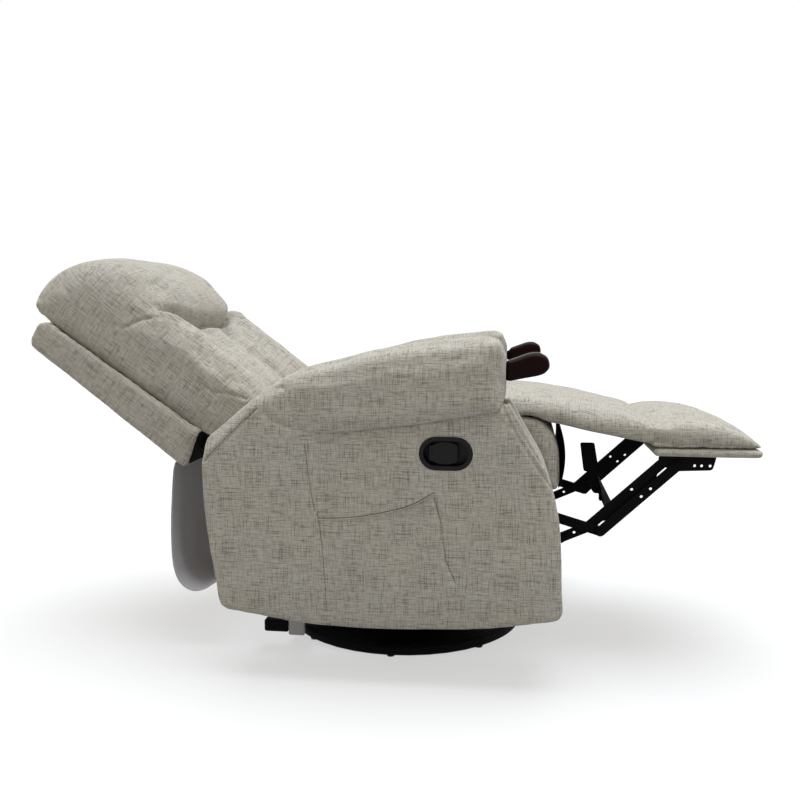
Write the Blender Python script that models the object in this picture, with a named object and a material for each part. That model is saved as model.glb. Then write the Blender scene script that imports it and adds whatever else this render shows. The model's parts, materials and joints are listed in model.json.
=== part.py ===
# Swivel rocker recliner, at rest with its back down and its footrest out.
# Metres, Z up, X towards the sitter's feet, Y to the sitter's left, floor at Z 0.
# X is measured from the centre of the floor ring until the last lines, which centre the whole chair.
import math

import bpy
import bmesh
from mathutils import Matrix, Vector

for old in list(bpy.data.objects):
    bpy.data.objects.remove(old, do_unlink=True)

CENTRE_X = 0.0261       # from the middle of the reclined chair to the centre of the ring

# Clearances
GAP = 0.0004            # between pieces that touch
PIN_PLAY = 0.0004       # between a pin and its hole
LAYER_GAP = 0.0015      # between steel links side by side
OPEN_PLAY = 0.0036      # round the pin of the one loose pivot of the footrest

# Round base and swivel
RING_R = 0.275          # outer radius of the floor ring
RING_W = 0.024
RING_H = 0.020
RING_STEPS = 40
GLIDE_H = 0.0045        # height of the floor pads under the ring
PAN_T = 0.003           # sheet of the round pan inside the ring
SPIDER_H = 0.011
BEARING_R = 0.085
BEARING_H = 0.010
TRACK_H = 0.0275        # height of the rails that the rockers roll on
TRACK_Y = 0.145         # half spacing of the rails
TRACK_W = 0.040
TRACK_L = 0.400
ROCK_ANGLE = 7.0        # rocking either way, where the rocker's flank lands
ROCKER_H = 0.049
ROCKER_L = 0.360
ROCKER_T = 0.028
TUBE_WALL = 0.002       # wall of the rails and cross bars
BAR_H = 0.025           # chassis cross bars
FRONT_BAR_X = 0.045
REAR_BAR_X = -0.195
SPRING_X = 0.140
SPRING_Y = 0.085
SPRING_R = 0.018
WIRE_R = 0.0025
TIP_X = -0.281          # rear end of the outrigger that keeps the rocked chair from tipping
TIP_BLOCK = 0.054       # length of its end blocks
TIP_PAD_L = 0.036       # length of the pale caps beside the blocks

# Arms
SEAT_HALF = 0.270       # half the clear width between the arms
ARM_T = 0.160           # thickness of an arm
ARM_WALL = 0.026        # padded wall of the hollow arm
PAD_OVER = 0.014        # how far the arm pillow stands out past the panel
PANEL_REAR = -0.351
PANEL_FRONT = 0.354
ARM_FRONT = 0.241       # front face of the arm pillow
ARM_TOP = 0.697
GRIP_HALF = 0.034
GRIP_Z = 0.606          # underside of the wooden hand grip

# Lever in the outer face of the right arm
LEVER_X = 0.131
LEVER_Z = 0.470
LEVER_A = 0.052         # half length of the oval surround
LEVER_B = 0.0325
LEVER_DEEP = 0.028

# Steel plates and links of the mechanism
PLATE_T = 0.003
MECH_IN = 0.030         # mechanism plate to arm face
LINK_R = 0.0105         # half width of a link
WEB_W = 0.0085          # extra width of the long link along its middle
PIN_R = 0.004
FRONT_PIVOT = (0.249, 0.335)
FRONT_ANGLE = -16.3
FRONT_LEN = 0.200
CROSS_AT = 0.174        # along the front link, where the long link crosses it
DIAG_ANGLE = 43.1
DIAG_LEN = 0.2094
TAIL_ANGLE = 24.0
TAIL_LEN = 0.062
CONTROL_PIVOT = (0.187, 0.311)
GLIDE_TRAVEL = 0.055    # forward and up, as the back goes down
GLIDE_ANGLE = 12.0

# Seat
SEAT_REAR = -0.160
RAIL_FRONT = 0.268
RAIL_LOW = 0.370
RAIL_H = 0.060
RAIL_T = 0.030
BOX_FRONT = 0.352
SEAT_TOP = 0.562        # crest of the seat, near its front
SEAT_SHORT = 0.014      # rear of the seat cushion to the rear of its frame, for the upright back
CUSHION_SIDE = 0.009    # seat cushion to arm
BOARD_T = 0.016

# Backrest
BACK_PIVOT = (-0.270, 0.400)
BACK_ANGLE = 36.87      # slope of the back as it lies
BACK_SIDE = 0.008       # back cushion to arm
SLAB_OVER = 0.010       # how far the back shell reaches past the arm's inner face
SLAB_LOW = 0.166        # along the back from its pivot
SLAB_TOP = 0.578
SLAB_SLANT = 0.026      # how much lower the shell ends at its rear face
HEAD_LOW = 0.386
HEAD_TOP = 0.668

# Derived heights
RING_LOW = GLIDE_H
RING_TOP = RING_LOW + RING_H
SPIDER_LOW = RING_LOW + 0.0065
BEARING_LOW = SPIDER_LOW + SPIDER_H + GAP
TURN_LOW = BEARING_LOW + BEARING_H + GAP
DECK_LOW = TURN_LOW + BEARING_H + GAP
DECK_T = 0.004
TRACK_TOP = DECK_LOW + DECK_T + TRACK_H
ROCKER_LOW = TRACK_TOP + GAP
BAR_LOW = ROCKER_LOW + ROCKER_H + GAP
BAR_TOP = BAR_LOW + BAR_H

# Derived sideways layers, from the arm's face inwards
MECH_OUT = SEAT_HALF - MECH_IN
MECH_T = 0.004
SEATPLATE_OUT = MECH_OUT - MECH_T - LAYER_GAP
SEATPLATE_IN = SEATPLATE_OUT - PLATE_T
LAYER3_OUT = SEATPLATE_IN - LAYER_GAP
LAYER3_IN = LAYER3_OUT - PLATE_T
LAYER2_OUT = LAYER3_IN - LAYER_GAP
LAYER2_IN = LAYER2_OUT - PLATE_T
LAYER1_OUT = LAYER2_IN - LAYER_GAP
LAYER1_IN = LAYER1_OUT - PLATE_T
PANEL_OUT = SEAT_HALF + ARM_T
SEAT_W = SEAT_HALF - CUSHION_SIDE
BACK_HALF = SEAT_HALF - BACK_SIDE
SLAB_HALF = SEAT_HALF + SLAB_OVER


def polar(start, angle, length):
    turn = math.radians(angle)
    return (start[0] + length * math.cos(turn), start[1] + length * math.sin(turn))


# Pivots of the footrest links: a parallelogram of the front link and the foot bracket
FRONT_END = polar(FRONT_PIVOT, FRONT_ANGLE, FRONT_LEN)
CROSS = polar(FRONT_PIVOT, FRONT_ANGLE, CROSS_AT)
FOOT_PIN = polar(FRONT_END, DIAG_ANGLE, DIAG_LEN)
FOOT_PIN_REAR = polar(CROSS, DIAG_ANGLE, DIAG_LEN)
TAIL = polar(CROSS, TAIL_ANGLE + 180, TAIL_LEN)
BOARD_LOW = FOOT_PIN[1] + 0.0235
BOARD_TOP = BOARD_LOW + BOARD_T
BOARD_REAR = FOOT_PIN[0] - 0.049
BOARD_FRONT = FOOT_PIN[0] + 0.157
CHAISE_HINGE = (BOX_FRONT + 0.0002, 0.507)
BACK_U = Vector((-math.cos(math.radians(BACK_ANGLE)), 0, math.sin(math.radians(BACK_ANGLE))))
BACK_N = Vector((math.sin(math.radians(BACK_ANGLE)), 0, math.cos(math.radians(BACK_ANGLE))))

colours = {
    "fabric": ((0.56, 0.52, 0.47, 1), 0.9, 0.0),
    "lining": ((0.03, 0.03, 0.03, 1), 0.9, 0.0),
    "backing": ((0.62, 0.61, 0.59, 1), 0.9, 0.0),
    "steel": ((0.025, 0.025, 0.027, 1), 0.45, 0.3),
    "wire": ((0.2, 0.2, 0.21, 1), 0.4, 0.9),
    "plastic": ((0.02, 0.02, 0.02, 1), 0.5, 0.0),
    "timber": ((0.55, 0.4, 0.25, 1), 0.7, 0.0),
    "mahogany": ((0.09, 0.025, 0.015, 1), 0.25, 0.0),
    "nylon": ((0.55, 0.55, 0.54, 1), 0.5, 0.0),
}


def paint(obj, kind):
    colour, rough, metal = colours[kind]
    mat = bpy.data.materials.new(obj.name)
    mat.use_nodes = True
    shader = mat.node_tree.nodes["Principled BSDF"]
    shader.inputs["Base Color"].default_value = colour
    shader.inputs["Roughness"].default_value = rough
    shader.inputs["Metallic"].default_value = metal
    mat.diffuse_color = colour
    obj.data.materials.clear()
    obj.data.materials.append(mat)


def faceOut(bm):
    bmesh.ops.recalc_face_normals(bm, faces=bm.faces)
    if bm.calc_volume(signed=True) < 0:
        bmesh.ops.reverse_faces(bm, faces=bm.faces)


def solid(name, bm, kind=None):
    faceOut(bm)
    mesh = bpy.data.meshes.new(name)
    bm.to_mesh(mesh)
    bm.free()
    obj = bpy.data.objects.new(name, mesh)
    bpy.context.scene.collection.objects.link(obj)
    if kind:
        paint(obj, kind)
    return obj


def combine(obj, tool, operation):
    modifier = obj.modifiers.new("shape", "BOOLEAN")
    modifier.object = tool
    modifier.operation = operation
    modifier.solver = "EXACT"
    graph = bpy.context.evaluated_depsgraph_get()
    mesh = bpy.data.meshes.new_from_object(obj.evaluated_get(graph))
    obj.modifiers.clear()
    obj.data = mesh
    bpy.data.objects.remove(tool, do_unlink=True)
    return obj


def add(obj, tool):
    return combine(obj, tool, "UNION")


def cut(obj, tool):
    return combine(obj, tool, "DIFFERENCE")


def fillet(corners, steps=3):
    # Corners are (x, z) or (x, z, radius): each radius becomes a short arc
    loop = []
    count = len(corners)
    for i, corner in enumerate(corners):
        here = Vector(corner[:2])
        radius = corner[2] if len(corner) > 2 else 0
        before = Vector(corners[i - 1][:2]) - here
        after = Vector(corners[(i + 1) % count][:2]) - here
        room = 0.46 * min(before.length, after.length)
        a = before.normalized()
        b = after.normalized()
        half = 0.5 * math.acos(max(-1, min(1, a.dot(b))))
        if radius <= 0 or half > 1.55:
            loop.append((here.x, here.y))
            continue
        reach = min(radius / math.tan(half), room)
        radius = reach * math.tan(half)
        centre = here + (a + b).normalized() * (radius / math.sin(half))
        start = here + a * reach - centre
        sweep = start.angle_signed(here + b * reach - centre)
        for k in range(steps + 1):
            turn = -sweep * k / steps
            c = math.cos(turn)
            s = math.sin(turn)
            loop.append((centre.x + c * start.x - s * start.y, centre.y + s * start.x + c * start.y))
    return loop


def circle(centre, radius, count=12, turn=0):
    return [polar(centre, turn + 360 * k / count, radius) for k in range(count)]


def slot(start, end, radius, steps=6):
    return barOutline((start, end), radius, steps)


def barOutline(path, radius, steps=6, wider=None):
    # A strip of steel along a path, with round ends, and wider on its right at some points
    points = [Vector(p) for p in path]
    left = []
    right = []
    for i, point in enumerate(points):
        ahead = (points[min(i + 1, len(points) - 1)] - points[min(i, len(points) - 2)]).normalized()
        behind = (points[max(i, 1)] - points[max(i - 1, 0)]).normalized()
        side = Vector((-ahead.y - behind.y, ahead.x + behind.x)).normalized()
        grow = radius / max(0.4, side.dot(Vector((-ahead.y, ahead.x))))
        left.append(point + side * grow)
        right.append(point - side * (grow + (wider or {}).get(i, 0)))
    loop = [(p.x, p.y) for p in left]
    for end, rim in ((points[-1], left[-1]), (points[0], right[0])):
        turn = math.degrees(math.atan2(rim.y - end.y, rim.x - end.x))
        loop += [polar(end, turn - 180 * k / steps, radius) for k in range(1, steps)]
        if end is points[-1]:
            loop += [(p.x, p.y) for p in reversed(right)]
    return loop


def plate(name, loops, low, high, kind=None):
    # Flat outline in X and Z with holes, given its thickness along Y
    curve = bpy.data.curves.new(name, "CURVE")
    curve.dimensions = "2D"
    curve.fill_mode = "BOTH"
    curve.extrude = (high - low) / 2
    for loop in loops:
        spline = curve.splines.new("POLY")
        spline.points.add(len(loop) - 1)
        for point, place in zip(spline.points, loop):
            point.co = (place[0], place[1], 0, 1)
        spline.use_cyclic_u = True
    holder = bpy.data.objects.new(name + "_outline", curve)
    bpy.context.scene.collection.objects.link(holder)
    graph = bpy.context.evaluated_depsgraph_get()
    mesh = bpy.data.meshes.new_from_object(holder.evaluated_get(graph))
    bpy.data.objects.remove(holder, do_unlink=True)
    bm = bmesh.new()
    bm.from_mesh(mesh)
    bmesh.ops.remove_doubles(bm, verts=bm.verts, dist=1e-6)
    middle = (low + high) / 2
    for vert in bm.verts:
        x, y, z = vert.co
        vert.co = (x, middle + z, y)
    return solid(name, bm, kind)


def extrude(name, loop, low, high, kind=None, soft=0, steps=2):
    bm = bmesh.new()
    face = bm.faces.new([bm.verts.new((x, low, z)) for x, z in loop])
    made = bmesh.ops.extrude_face_region(bm, geom=[face])["geom"]
    moved = [v for v in made if isinstance(v, bmesh.types.BMVert)]
    bmesh.ops.translate(bm, verts=moved, vec=(0, high - low, 0))
    if soft:
        rims = [e for e in bm.edges if abs(e.verts[0].co.y - e.verts[1].co.y) < 1e-7]
        bmesh.ops.bevel(bm, geom=rims, offset=soft, segments=steps, profile=0.5, affect="EDGES",
                        material=-1, clamp_overlap=True)
    return solid(name, bm, kind)


def block(name, low, high, kind=None, soft=0):
    bm = bmesh.new()
    bmesh.ops.create_cube(bm, size=1)
    size = Vector(high) - Vector(low)
    middle = (Vector(high) + Vector(low)) / 2
    bmesh.ops.transform(bm, verts=bm.verts, matrix=Matrix.Translation(middle) @ Matrix.Diagonal((*size, 1)))
    if soft:
        bmesh.ops.bevel(bm, geom=bm.edges[:], offset=soft, segments=1, profile=0.5, affect="EDGES",
                        material=-1, clamp_overlap=True)
    return solid(name, bm, kind)


def revolve(name, profile, kind=None, steps=48, closed=True):
    # Profile in radius and height, turned round the upright axis
    bm = bmesh.new()
    verts = [bm.verts.new((r, 0, z)) for r, z in profile]
    last = len(verts) if closed else len(verts) - 1
    edges = [bm.edges.new((verts[i], verts[(i + 1) % len(verts)])) for i in range(last)]
    bmesh.ops.spin(bm, geom=verts + edges, cent=(0, 0, 0), axis=(0, 0, 1), angle=math.tau,
                   steps=steps, use_merge=True)
    bmesh.ops.remove_doubles(bm, verts=bm.verts, dist=1e-6)
    return solid(name, bm, kind)


def rod(name, centre, radius, low, high, kind=None, count=10):
    return extrude(name, circle(centre, radius, count), low, high, kind)


def span(side, a, b):
    return sorted((side * a, side * b))


def rivet(side, centre, root, tip, radius=PIN_R):
    # A pin along Y from inside its plate to a flat head past the piece it holds
    low, high = span(side, root, tip)
    pin = rod("pin", centre, radius, low, high)
    direction = 1 if tip > root else -1
    low, high = span(side, tip - direction * 0.0002, tip + direction * 0.0016)
    return add(pin, rod("head", centre, radius * 1.7, low, high))


def loft(name, rings, kind=None):
    bm = bmesh.new()
    rows = [[bm.verts.new(p) for p in ring] for ring in rings]
    for one, two in zip(rows, rows[1:]):
        for i in range(len(one)):
            j = (i + 1) % len(one)
            bm.faces.new((one[i], one[j], two[j], two[i]))
    bm.faces.new(rows[0])
    bm.faces.new(list(reversed(rows[-1])))
    return solid(name, bm, kind)


def outward(loop):
    area = sum(a[0] * b[1] - b[0] * a[1] for a, b in zip(loop, loop[1:] + loop[:1]))
    sign = 1 if area > 0 else -1
    normals = []
    for i in range(len(loop)):
        a = Vector(loop[i - 1])
        b = Vector(loop[(i + 1) % len(loop)])
        d = (b - a).normalized()
        normals.append(Vector((d.y, -d.x)) * sign)
    return normals


def drawRoom(loop, normals):
    # How far each point may be drawn inwards before the edges beside it close up
    count = len(loop)
    reach = []
    for i in range(count):
        side = Vector(loop[(i + 1) % count]) - Vector(loop[i])
        closing = (normals[(i + 1) % count] - normals[i]).dot(side.normalized())
        reach.append(0.8 * side.length / closing if closing > 1e-6 else 1.0)
    return [min(reach[i - 1], reach[i]) for i in range(count)]


def cushion(name, loop, low, high, kind, edge, crown=0.0, towards=(0, 1), grooves=(), under=1.0):
    # A side outline carried across the width: rounded ends drawn in less on the underside, a crown, channels
    half = (high - low) / 2
    middle = (high + low) / 2
    start = 1 - edge / half
    places = {0.0, 0.5 * start, 0.8 * start, start, 1 - 0.55 * edge / half, 1 - 0.18 * edge / half, 1.0}
    places |= {-t for t in places}
    for y, depth, width in grooves:
        places |= {(y - middle + k * width) / half for k in (-1.6, -0.7, 0, 0.7, 1.6)}
    stations = []
    for t in sorted(places):
        if not stations or t - stations[-1] > 0.012:
            stations.append(t)
    stations[-1] = 1.0
    normals = outward(loop)
    shares = [min(1.0, room / edge) for room in drawRoom(loop, normals)]
    pull = Vector(towards).normalized()
    rings = []
    for t in stations:
        s = max(0, min(1, (abs(t) - start) / (1 - start)))
        inset = edge * (1 - math.sqrt(max(0, 1 - s * s)))
        y = middle + t * half
        sink = sum(depth * math.exp(-((y - at) / width) ** 2) for at, depth, width in grooves)
        ring = []
        for point, normal, share in zip(loop, normals, shares):
            face = max(0, normal.dot(pull))
            p = Vector(point) - normal * inset * share * (under + (1 - under) * face)
            p += pull * face * (crown * (1 - t * t) - sink)
            ring.append((p.x, y, p.y))
        rings.append(ring)
    return loft(name, rings, kind)


def lieBack(obj):
    # From (along the back, across, out of the back) to the reclined place
    place = Matrix(((BACK_U.x, 0, BACK_N.x, BACK_PIVOT[0]), (0, 1, 0, 0),
                    (BACK_U.z, 0, BACK_N.z, BACK_PIVOT[1]), (0, 0, 0, 1)))
    bm = bmesh.new()
    bm.from_mesh(obj.data)
    bmesh.ops.transform(bm, matrix=place, verts=bm.verts)
    faceOut(bm)
    bm.to_mesh(obj.data)
    bm.free()
    return obj


def pivot(obj, place):
    # Puts the origin of a moving piece on its joint axis
    obj.data.transform(Matrix.Translation(-Vector(place)))
    obj.location = place


# Floor ring, its pads and the swivel
ringEdge = 0.0055
ringIn = RING_R - RING_W
ringProfile = fillet([(ringIn, RING_LOW, ringEdge), (RING_R, RING_LOW, ringEdge), (RING_R, RING_TOP, ringEdge),
                      (ringIn, RING_TOP, ringEdge)], 2)
revolve("floor_ring", ringProfile, "steel", RING_STEPS)

ringMid = RING_R - RING_W / 2
strip = revolve("floor_pads", [(ringMid - 0.005, 0.0025), (ringMid + 0.005, 0.0025),
                               (ringMid + 0.005, RING_LOW - GAP), (ringMid - 0.005, RING_LOW - GAP)],
                None, RING_STEPS)
feet = bmesh.new()
for k in range(8):
    x, y = polar((0, 0), 45 * k, ringMid)
    bmesh.ops.create_cone(feet, cap_ends=True, segments=8, radius1=0.0085, radius2=0.010, depth=0.0036,
                          matrix=Matrix.Translation((x, y, 0.0018)))
paint(add(strip, solid("feet", feet)), "plastic")

panR = ringIn - GAP
hubR = BEARING_R * 1.2
pan = [(0, SPIDER_LOW), (panR, SPIDER_LOW), (panR, SPIDER_LOW + PAN_T), (hubR + 0.020, SPIDER_LOW + PAN_T),
       (hubR, SPIDER_LOW + SPIDER_H), (0, SPIDER_LOW + SPIDER_H)]
revolve("base_spider", pan, "steel", RING_STEPS, False)

post = 0.018
revolve("bearing_lower", [(0, BEARING_LOW), (BEARING_R, BEARING_LOW), (BEARING_R, BEARING_LOW + BEARING_H),
                          (post, BEARING_LOW + BEARING_H), (post, TURN_LOW + BEARING_H - 0.001),
                          (0, TURN_LOW + BEARING_H - 0.001)], "steel", 32, False)
revolve("bearing_upper", [(post + 0.001, TURN_LOW), (BEARING_R * 1.08, TURN_LOW),
                          (BEARING_R * 1.08, TURN_LOW + BEARING_H), (post + 0.001, TURN_LOW + BEARING_H)],
        "wire", 32)

# Turning frame with the two rails that the rockers roll on
deckX = SPRING_X + 0.035
deckY = TRACK_Y + TRACK_W / 2
deck = block("rocker_base", (-deckX, -deckY, DECK_LOW), (deckX, deckY, DECK_LOW + DECK_T))
for side in (-1, 1):
    low, high = span(side, TRACK_Y - TRACK_W / 2, TRACK_Y + TRACK_W / 2)
    add(deck, block("track", (-TRACK_L / 2, low, DECK_LOW + 0.001), (TRACK_L / 2, high, TRACK_TOP)))
    cut(deck, block("room", (-TRACK_L, low + TUBE_WALL, DECK_LOW + DECK_T),
                    (TRACK_L, high - TUBE_WALL, TRACK_TOP - TUBE_WALL)))
paint(deck, "steel")

# Outrigger across the rear ends of the rails, with a block and a pale cap at each end
tipLow = DECK_LOW + 0.0044
tipTop = tipLow + 0.019
tipY = SEAT_HALF - 0.006
tipCap = 0.012
tipIn = TIP_X + TIP_BLOCK
outrigger = block("tip_bar", (tipIn - 0.002, -tipY + tipCap + GAP, tipLow),
                  (-TRACK_L / 2 - GAP, tipY - tipCap - GAP, tipTop))
for side in (-1, 1):
    low, high = span(side, tipY - 0.040, tipY)
    add(outrigger, block("end", (TIP_X, low, tipLow - 0.007), (tipIn, high, tipTop + 0.001), None, 0.003))
paint(outrigger, "steel")
for side, end in ((-1, "right"), (1, "left")):
    low, high = span(side, tipY - tipCap, tipY)
    block("tip_pad_" + end, (tipIn + GAP, low, tipLow - 0.013), (tipIn + TIP_PAD_L, high, tipTop), "nylon",
          0.0025)

# Rockers: a round nose between two flanks, so each flank lands flat at the end of the rocking
slope = math.tan(math.radians(ROCK_ANGLE))
rise = ROCKER_L / 2 * slope
rockerLoop = fillet([(-ROCKER_L / 2, ROCKER_LOW + rise), (0, ROCKER_LOW - 0.0003, 0.045),
                     (ROCKER_L / 2, ROCKER_LOW + rise), (ROCKER_L / 2, ROCKER_LOW + ROCKER_H),
                     (-ROCKER_L / 2, ROCKER_LOW + ROCKER_H)], 4)
for side, end in ((-1, "right"), (1, "left")):
    low, high = span(side, TRACK_Y - ROCKER_T / 2, TRACK_Y + ROCKER_T / 2)
    extrude("rocker_" + end, rockerLoop, low, high, "timber", 0.002, 1)

# Cross straps over the springs, screwed between the rockers
strapLow = ROCKER_LOW + ROCKER_H - 0.010
strapY = TRACK_Y - ROCKER_T / 2 - GAP
for place, end in ((SPRING_X, "front"), (-SPRING_X, "rear")):
    block("spring_strap_" + end, (place - 0.020, -strapY, strapLow), (place + 0.020, strapY, strapLow + 0.005),
          "steel")

# Coil springs between the turning frame and the straps
springLow = DECK_LOW + DECK_T + GAP + WIRE_R
springHigh = strapLow - GAP - WIRE_R
curls = 4
leastGap = (springHigh - springLow) / curls - 2 * WIRE_R
print("rocker spring curls", curls, "least gap between curls mm", round(leastGap * 1000, 2))
for sideX, endX in ((1, "front"), (-1, "rear")):
    for sideY, endY in ((-1, "right"), (1, "left")):
        curve = bpy.data.curves.new("coil", "CURVE")
        curve.dimensions = "3D"
        curve.bevel_depth = WIRE_R
        curve.bevel_resolution = 1
        curve.use_fill_caps = True
        spline = curve.splines.new("POLY")
        count = 8 * curls
        spline.points.add(count)
        for k in range(count + 1):
            x, y = polar((sideX * SPRING_X, sideY * SPRING_Y), 45 * k, SPRING_R)
            z = springLow + (springHigh - springLow) * k / count
            spline.points[k].co = (x, y, z, 1)
        holder = bpy.data.objects.new("coil", curve)
        bpy.context.scene.collection.objects.link(holder)
        graph = bpy.context.evaluated_depsgraph_get()
        mesh = bpy.data.meshes.new_from_object(holder.evaluated_get(graph))
        bpy.data.objects.remove(holder, do_unlink=True)
        bm = bmesh.new()
        bm.from_mesh(mesh)
        bmesh.ops.remove_doubles(bm, verts=bm.verts, dist=1e-6)
        solid("rocker_spring_" + endX + "_" + endY, bm, "wire")

# Chassis cross bars from arm to arm, standing on the rockers
barY = SEAT_HALF - GAP
for place, end in ((FRONT_BAR_X, "front"), (REAR_BAR_X, "rear")):
    tube = block("chassis_bar_" + end, (place - BAR_H / 2, -barY, BAR_LOW), (place + BAR_H / 2, barY, BAR_TOP),
                 None, 0.002)
    half = BAR_H / 2 - TUBE_WALL
    cut(tube, block("room", (place - half, -SEAT_HALF, BAR_LOW + TUBE_WALL),
                    (place + half, SEAT_HALF, BAR_TOP - TUBE_WALL)))
    paint(tube, "steel")

# Mechanism plates on the cross bars, each with two pins that the seat plate glides on
glide = (math.cos(math.radians(GLIDE_ANGLE)), math.sin(math.radians(GLIDE_ANGLE)))
rearGuide = (REAR_BAR_X - 0.003, 0.332)
frontGuide = (FRONT_BAR_X + 0.002, 0.332)
guideR = 0.005
mechTop = RAIL_LOW - 0.0185
for side, end in ((-1, "right"), (1, "left")):
    low, high = span(side, MECH_OUT - MECH_T, MECH_OUT)
    outline = fillet([(REAR_BAR_X - 0.020, BAR_TOP + GAP), (REAR_BAR_X + 0.030, BAR_TOP + GAP),
                      (REAR_BAR_X + 0.050, 0.235, 0.03), (FRONT_BAR_X - 0.050, 0.235, 0.03),
                      (FRONT_BAR_X - 0.030, BAR_TOP + GAP), (FRONT_BAR_X + 0.015, BAR_TOP + GAP),
                      (FRONT_BAR_X + 0.022, mechTop, 0.012), (REAR_BAR_X - 0.022, mechTop, 0.012)])
    mech = plate("mech_plate_" + end, [outline], low, high)
    for guide in (rearGuide, frontGuide):
        add(mech, rivet(side, guide, MECH_OUT - 0.002, SEATPLATE_IN - 0.0006, guideR))
    paint(mech, "steel")

# Arms: hollow padded side panels with a rocker shaped bottom edge and a raised wing at the rear
length = PANEL_FRONT - PANEL_REAR


def along(fraction):
    return PANEL_REAR + fraction * length


seamCorners = [(ARM_FRONT - 0.006, 0.5597), (along(0.669), 0.5347, 0.3), (along(0.423), 0.5127, 0.3),
               (along(0.271), 0.5118, 0.08), (along(0.183), 0.5460, 0.05), (along(0.155), 0.5765, 0.006)]
panelCorners = [(along(0.047), 0.150, 0.022), (along(0.274), 0.1262, 0.4), (along(0.498), 0.1205, 0.6),
                (along(0.780), 0.1330, 0.4), (PANEL_FRONT, 0.160, 0.016), (along(0.987), 0.348, 0.3),
                (along(0.949), 0.443, 0.2), (ARM_FRONT + 0.006, 0.572, 0.008)]
panelCorners += seamCorners
panelCorners += [(along(0.095), 0.544, 0.2), (PANEL_REAR, 0.487, 0.026), (along(0.008), 0.34, 0.6)]
hollow = [(along(0.094), 0.09), (along(0.060), 0.440, 0.02), (along(0.150), 0.478, 0.02),
          (along(0.795), 0.492, 0.03), (along(0.905), 0.400, 0.06), (along(0.945), 0.09)]
ovalSteps = 10
panels = {}
for side, end in ((-1, "right"), (1, "left")):
    low, high = span(side, SEAT_HALF, PANEL_OUT)
    panel = extrude("side_panel_" + end, fillet(panelCorners, 2), low, high, None, 0.009, 2)
    low, high = span(side, SEAT_HALF + ARM_WALL, PANEL_OUT - ARM_WALL)
    panels[end] = cut(panel, extrude("hollow", fillet(hollow), low, high))
    paint(panel, "fabric")


def oval(grow):
    straight = LEVER_A - LEVER_B
    return slot((LEVER_X - straight, LEVER_Z), (LEVER_X + straight, LEVER_Z), LEVER_B + grow, ovalSteps)


cupRim = -0.006
cupIn = -0.0085
cutLow, cutHigh = span(-1, PANEL_OUT - ARM_WALL - 0.004, PANEL_OUT + 0.01)
cut(panels["right"], extrude("lever_hole", oval(cupRim + GAP), cutLow, cutHigh))

# Storage pocket: a curved slit in the right arm and the bag behind it
pocketLine = [(along(0.328), 0.337), (along(0.418), 0.341), (along(0.502), 0.351), (along(0.586), 0.368),
              (along(0.654), 0.395)]
slit = 0.0075
cut(panels["right"], extrude("slit", barOutline(pocketLine, slit, 4), cutLow, cutHigh))
paint(panels["right"], "fabric")
bagOut = PANEL_OUT - ARM_WALL - GAP
bagIn = bagOut - 0.050
bagWall = 0.003
bagX0 = along(0.328) - slit - 0.002
bagX1 = along(0.654) + slit + 0.002
low, high = span(-1, bagIn, bagOut)
bag = block("pocket_bag", (bagX0, low, 0.175), (bagX1, high, 0.412))
bagY0, bagY1 = span(-1, bagIn + bagWall, bagOut - bagWall)
cut(bag, block("room", (bagX0 + bagWall, bagY0, 0.178), (bagX1 - bagWall, bagY1, 0.45)))
cutLow, cutHigh = span(-1, bagOut - 2 * bagWall, bagOut + 0.01)
cut(bag, extrude("mouth", barOutline(pocketLine, slit, 4), cutLow, cutHigh))
paint(bag, "lining")

# Arm pillows on the panels, each bored for the dowel of its hand grip
gripMid = (SEAT_HALF + PANEL_OUT) / 2 + 0.006
dowel = 0.012
dowelZ = GRIP_Z + 0.018
padCorners = [(ARM_FRONT, 0.566, 0.03), (ARM_FRONT, ARM_TOP - 0.003, 0.034), (along(0.80), ARM_TOP, 0.1),
              (along(0.685), ARM_TOP - 0.007, 0.2), (along(0.545), ARM_TOP - 0.025, 0.3),
              (along(0.40), ARM_TOP - 0.049, 0.3), (along(0.285), ARM_TOP - 0.071, 0.3),
              (along(0.214), ARM_TOP - 0.091, 0.1), (along(0.163), ARM_TOP - 0.111, 0.010)]
padCorners += [(along(0.160), 0.5735, 0.008), (along(0.186), 0.5478, 0.04), (along(0.271), 0.5131, 0.08),
               (along(0.423), 0.5136, 0.3), (along(0.669), 0.5356, 0.3)]
for side, end in ((-1, "right"), (1, "left")):
    low, high = span(side, SEAT_HALF + 0.002, PANEL_OUT + PAD_OVER)
    pad = cushion("arm_pillow_" + end, fillet(padCorners, 2), low, high, None, 0.030, 0.004)
    bore = bmesh.new()
    boreR = dowel + PIN_PLAY
    bmesh.ops.create_cone(bore, cap_ends=True, segments=14, radius1=boreR, radius2=boreR, depth=0.10,
                          matrix=Matrix.Translation((ARM_FRONT, side * gripMid, dowelZ))
                          @ Matrix.Rotation(math.pi / 2, 4, "Y"))
    paint(cut(pad, solid("bore", bore)), "fabric")

    gx = ARM_FRONT + GAP
    gz = GRIP_Z
    gripLoop = fillet([(gx, gz - 0.002, 0.004), (gx + 0.030, gz + 0.004, 0.05), (gx + 0.062, gz + 0.010, 0.02),
                       (gx + 0.082, gz + 0.017, 0.014), (gx + 0.087, gz + 0.036, 0.014),
                       (gx + 0.074, gz + 0.053, 0.018), (gx + 0.050, gz + 0.054, 0.03),
                       (gx, gz + 0.036, 0.004)], 1)
    gripY = side * gripMid
    grip = cushion("hand_grip_" + end, gripLoop, gripY - GRIP_HALF, gripY + GRIP_HALF, None, 0.012, 0.002)
    tenon = bmesh.new()
    bmesh.ops.create_cone(tenon, cap_ends=True, segments=14, radius1=dowel, radius2=dowel, depth=0.052,
                          matrix=Matrix.Translation((ARM_FRONT - 0.018, side * gripMid, dowelZ))
                          @ Matrix.Rotation(math.pi / 2, 4, "Y"))
    paint(add(grip, solid("tenon", tenon)), "mahogany")

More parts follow.
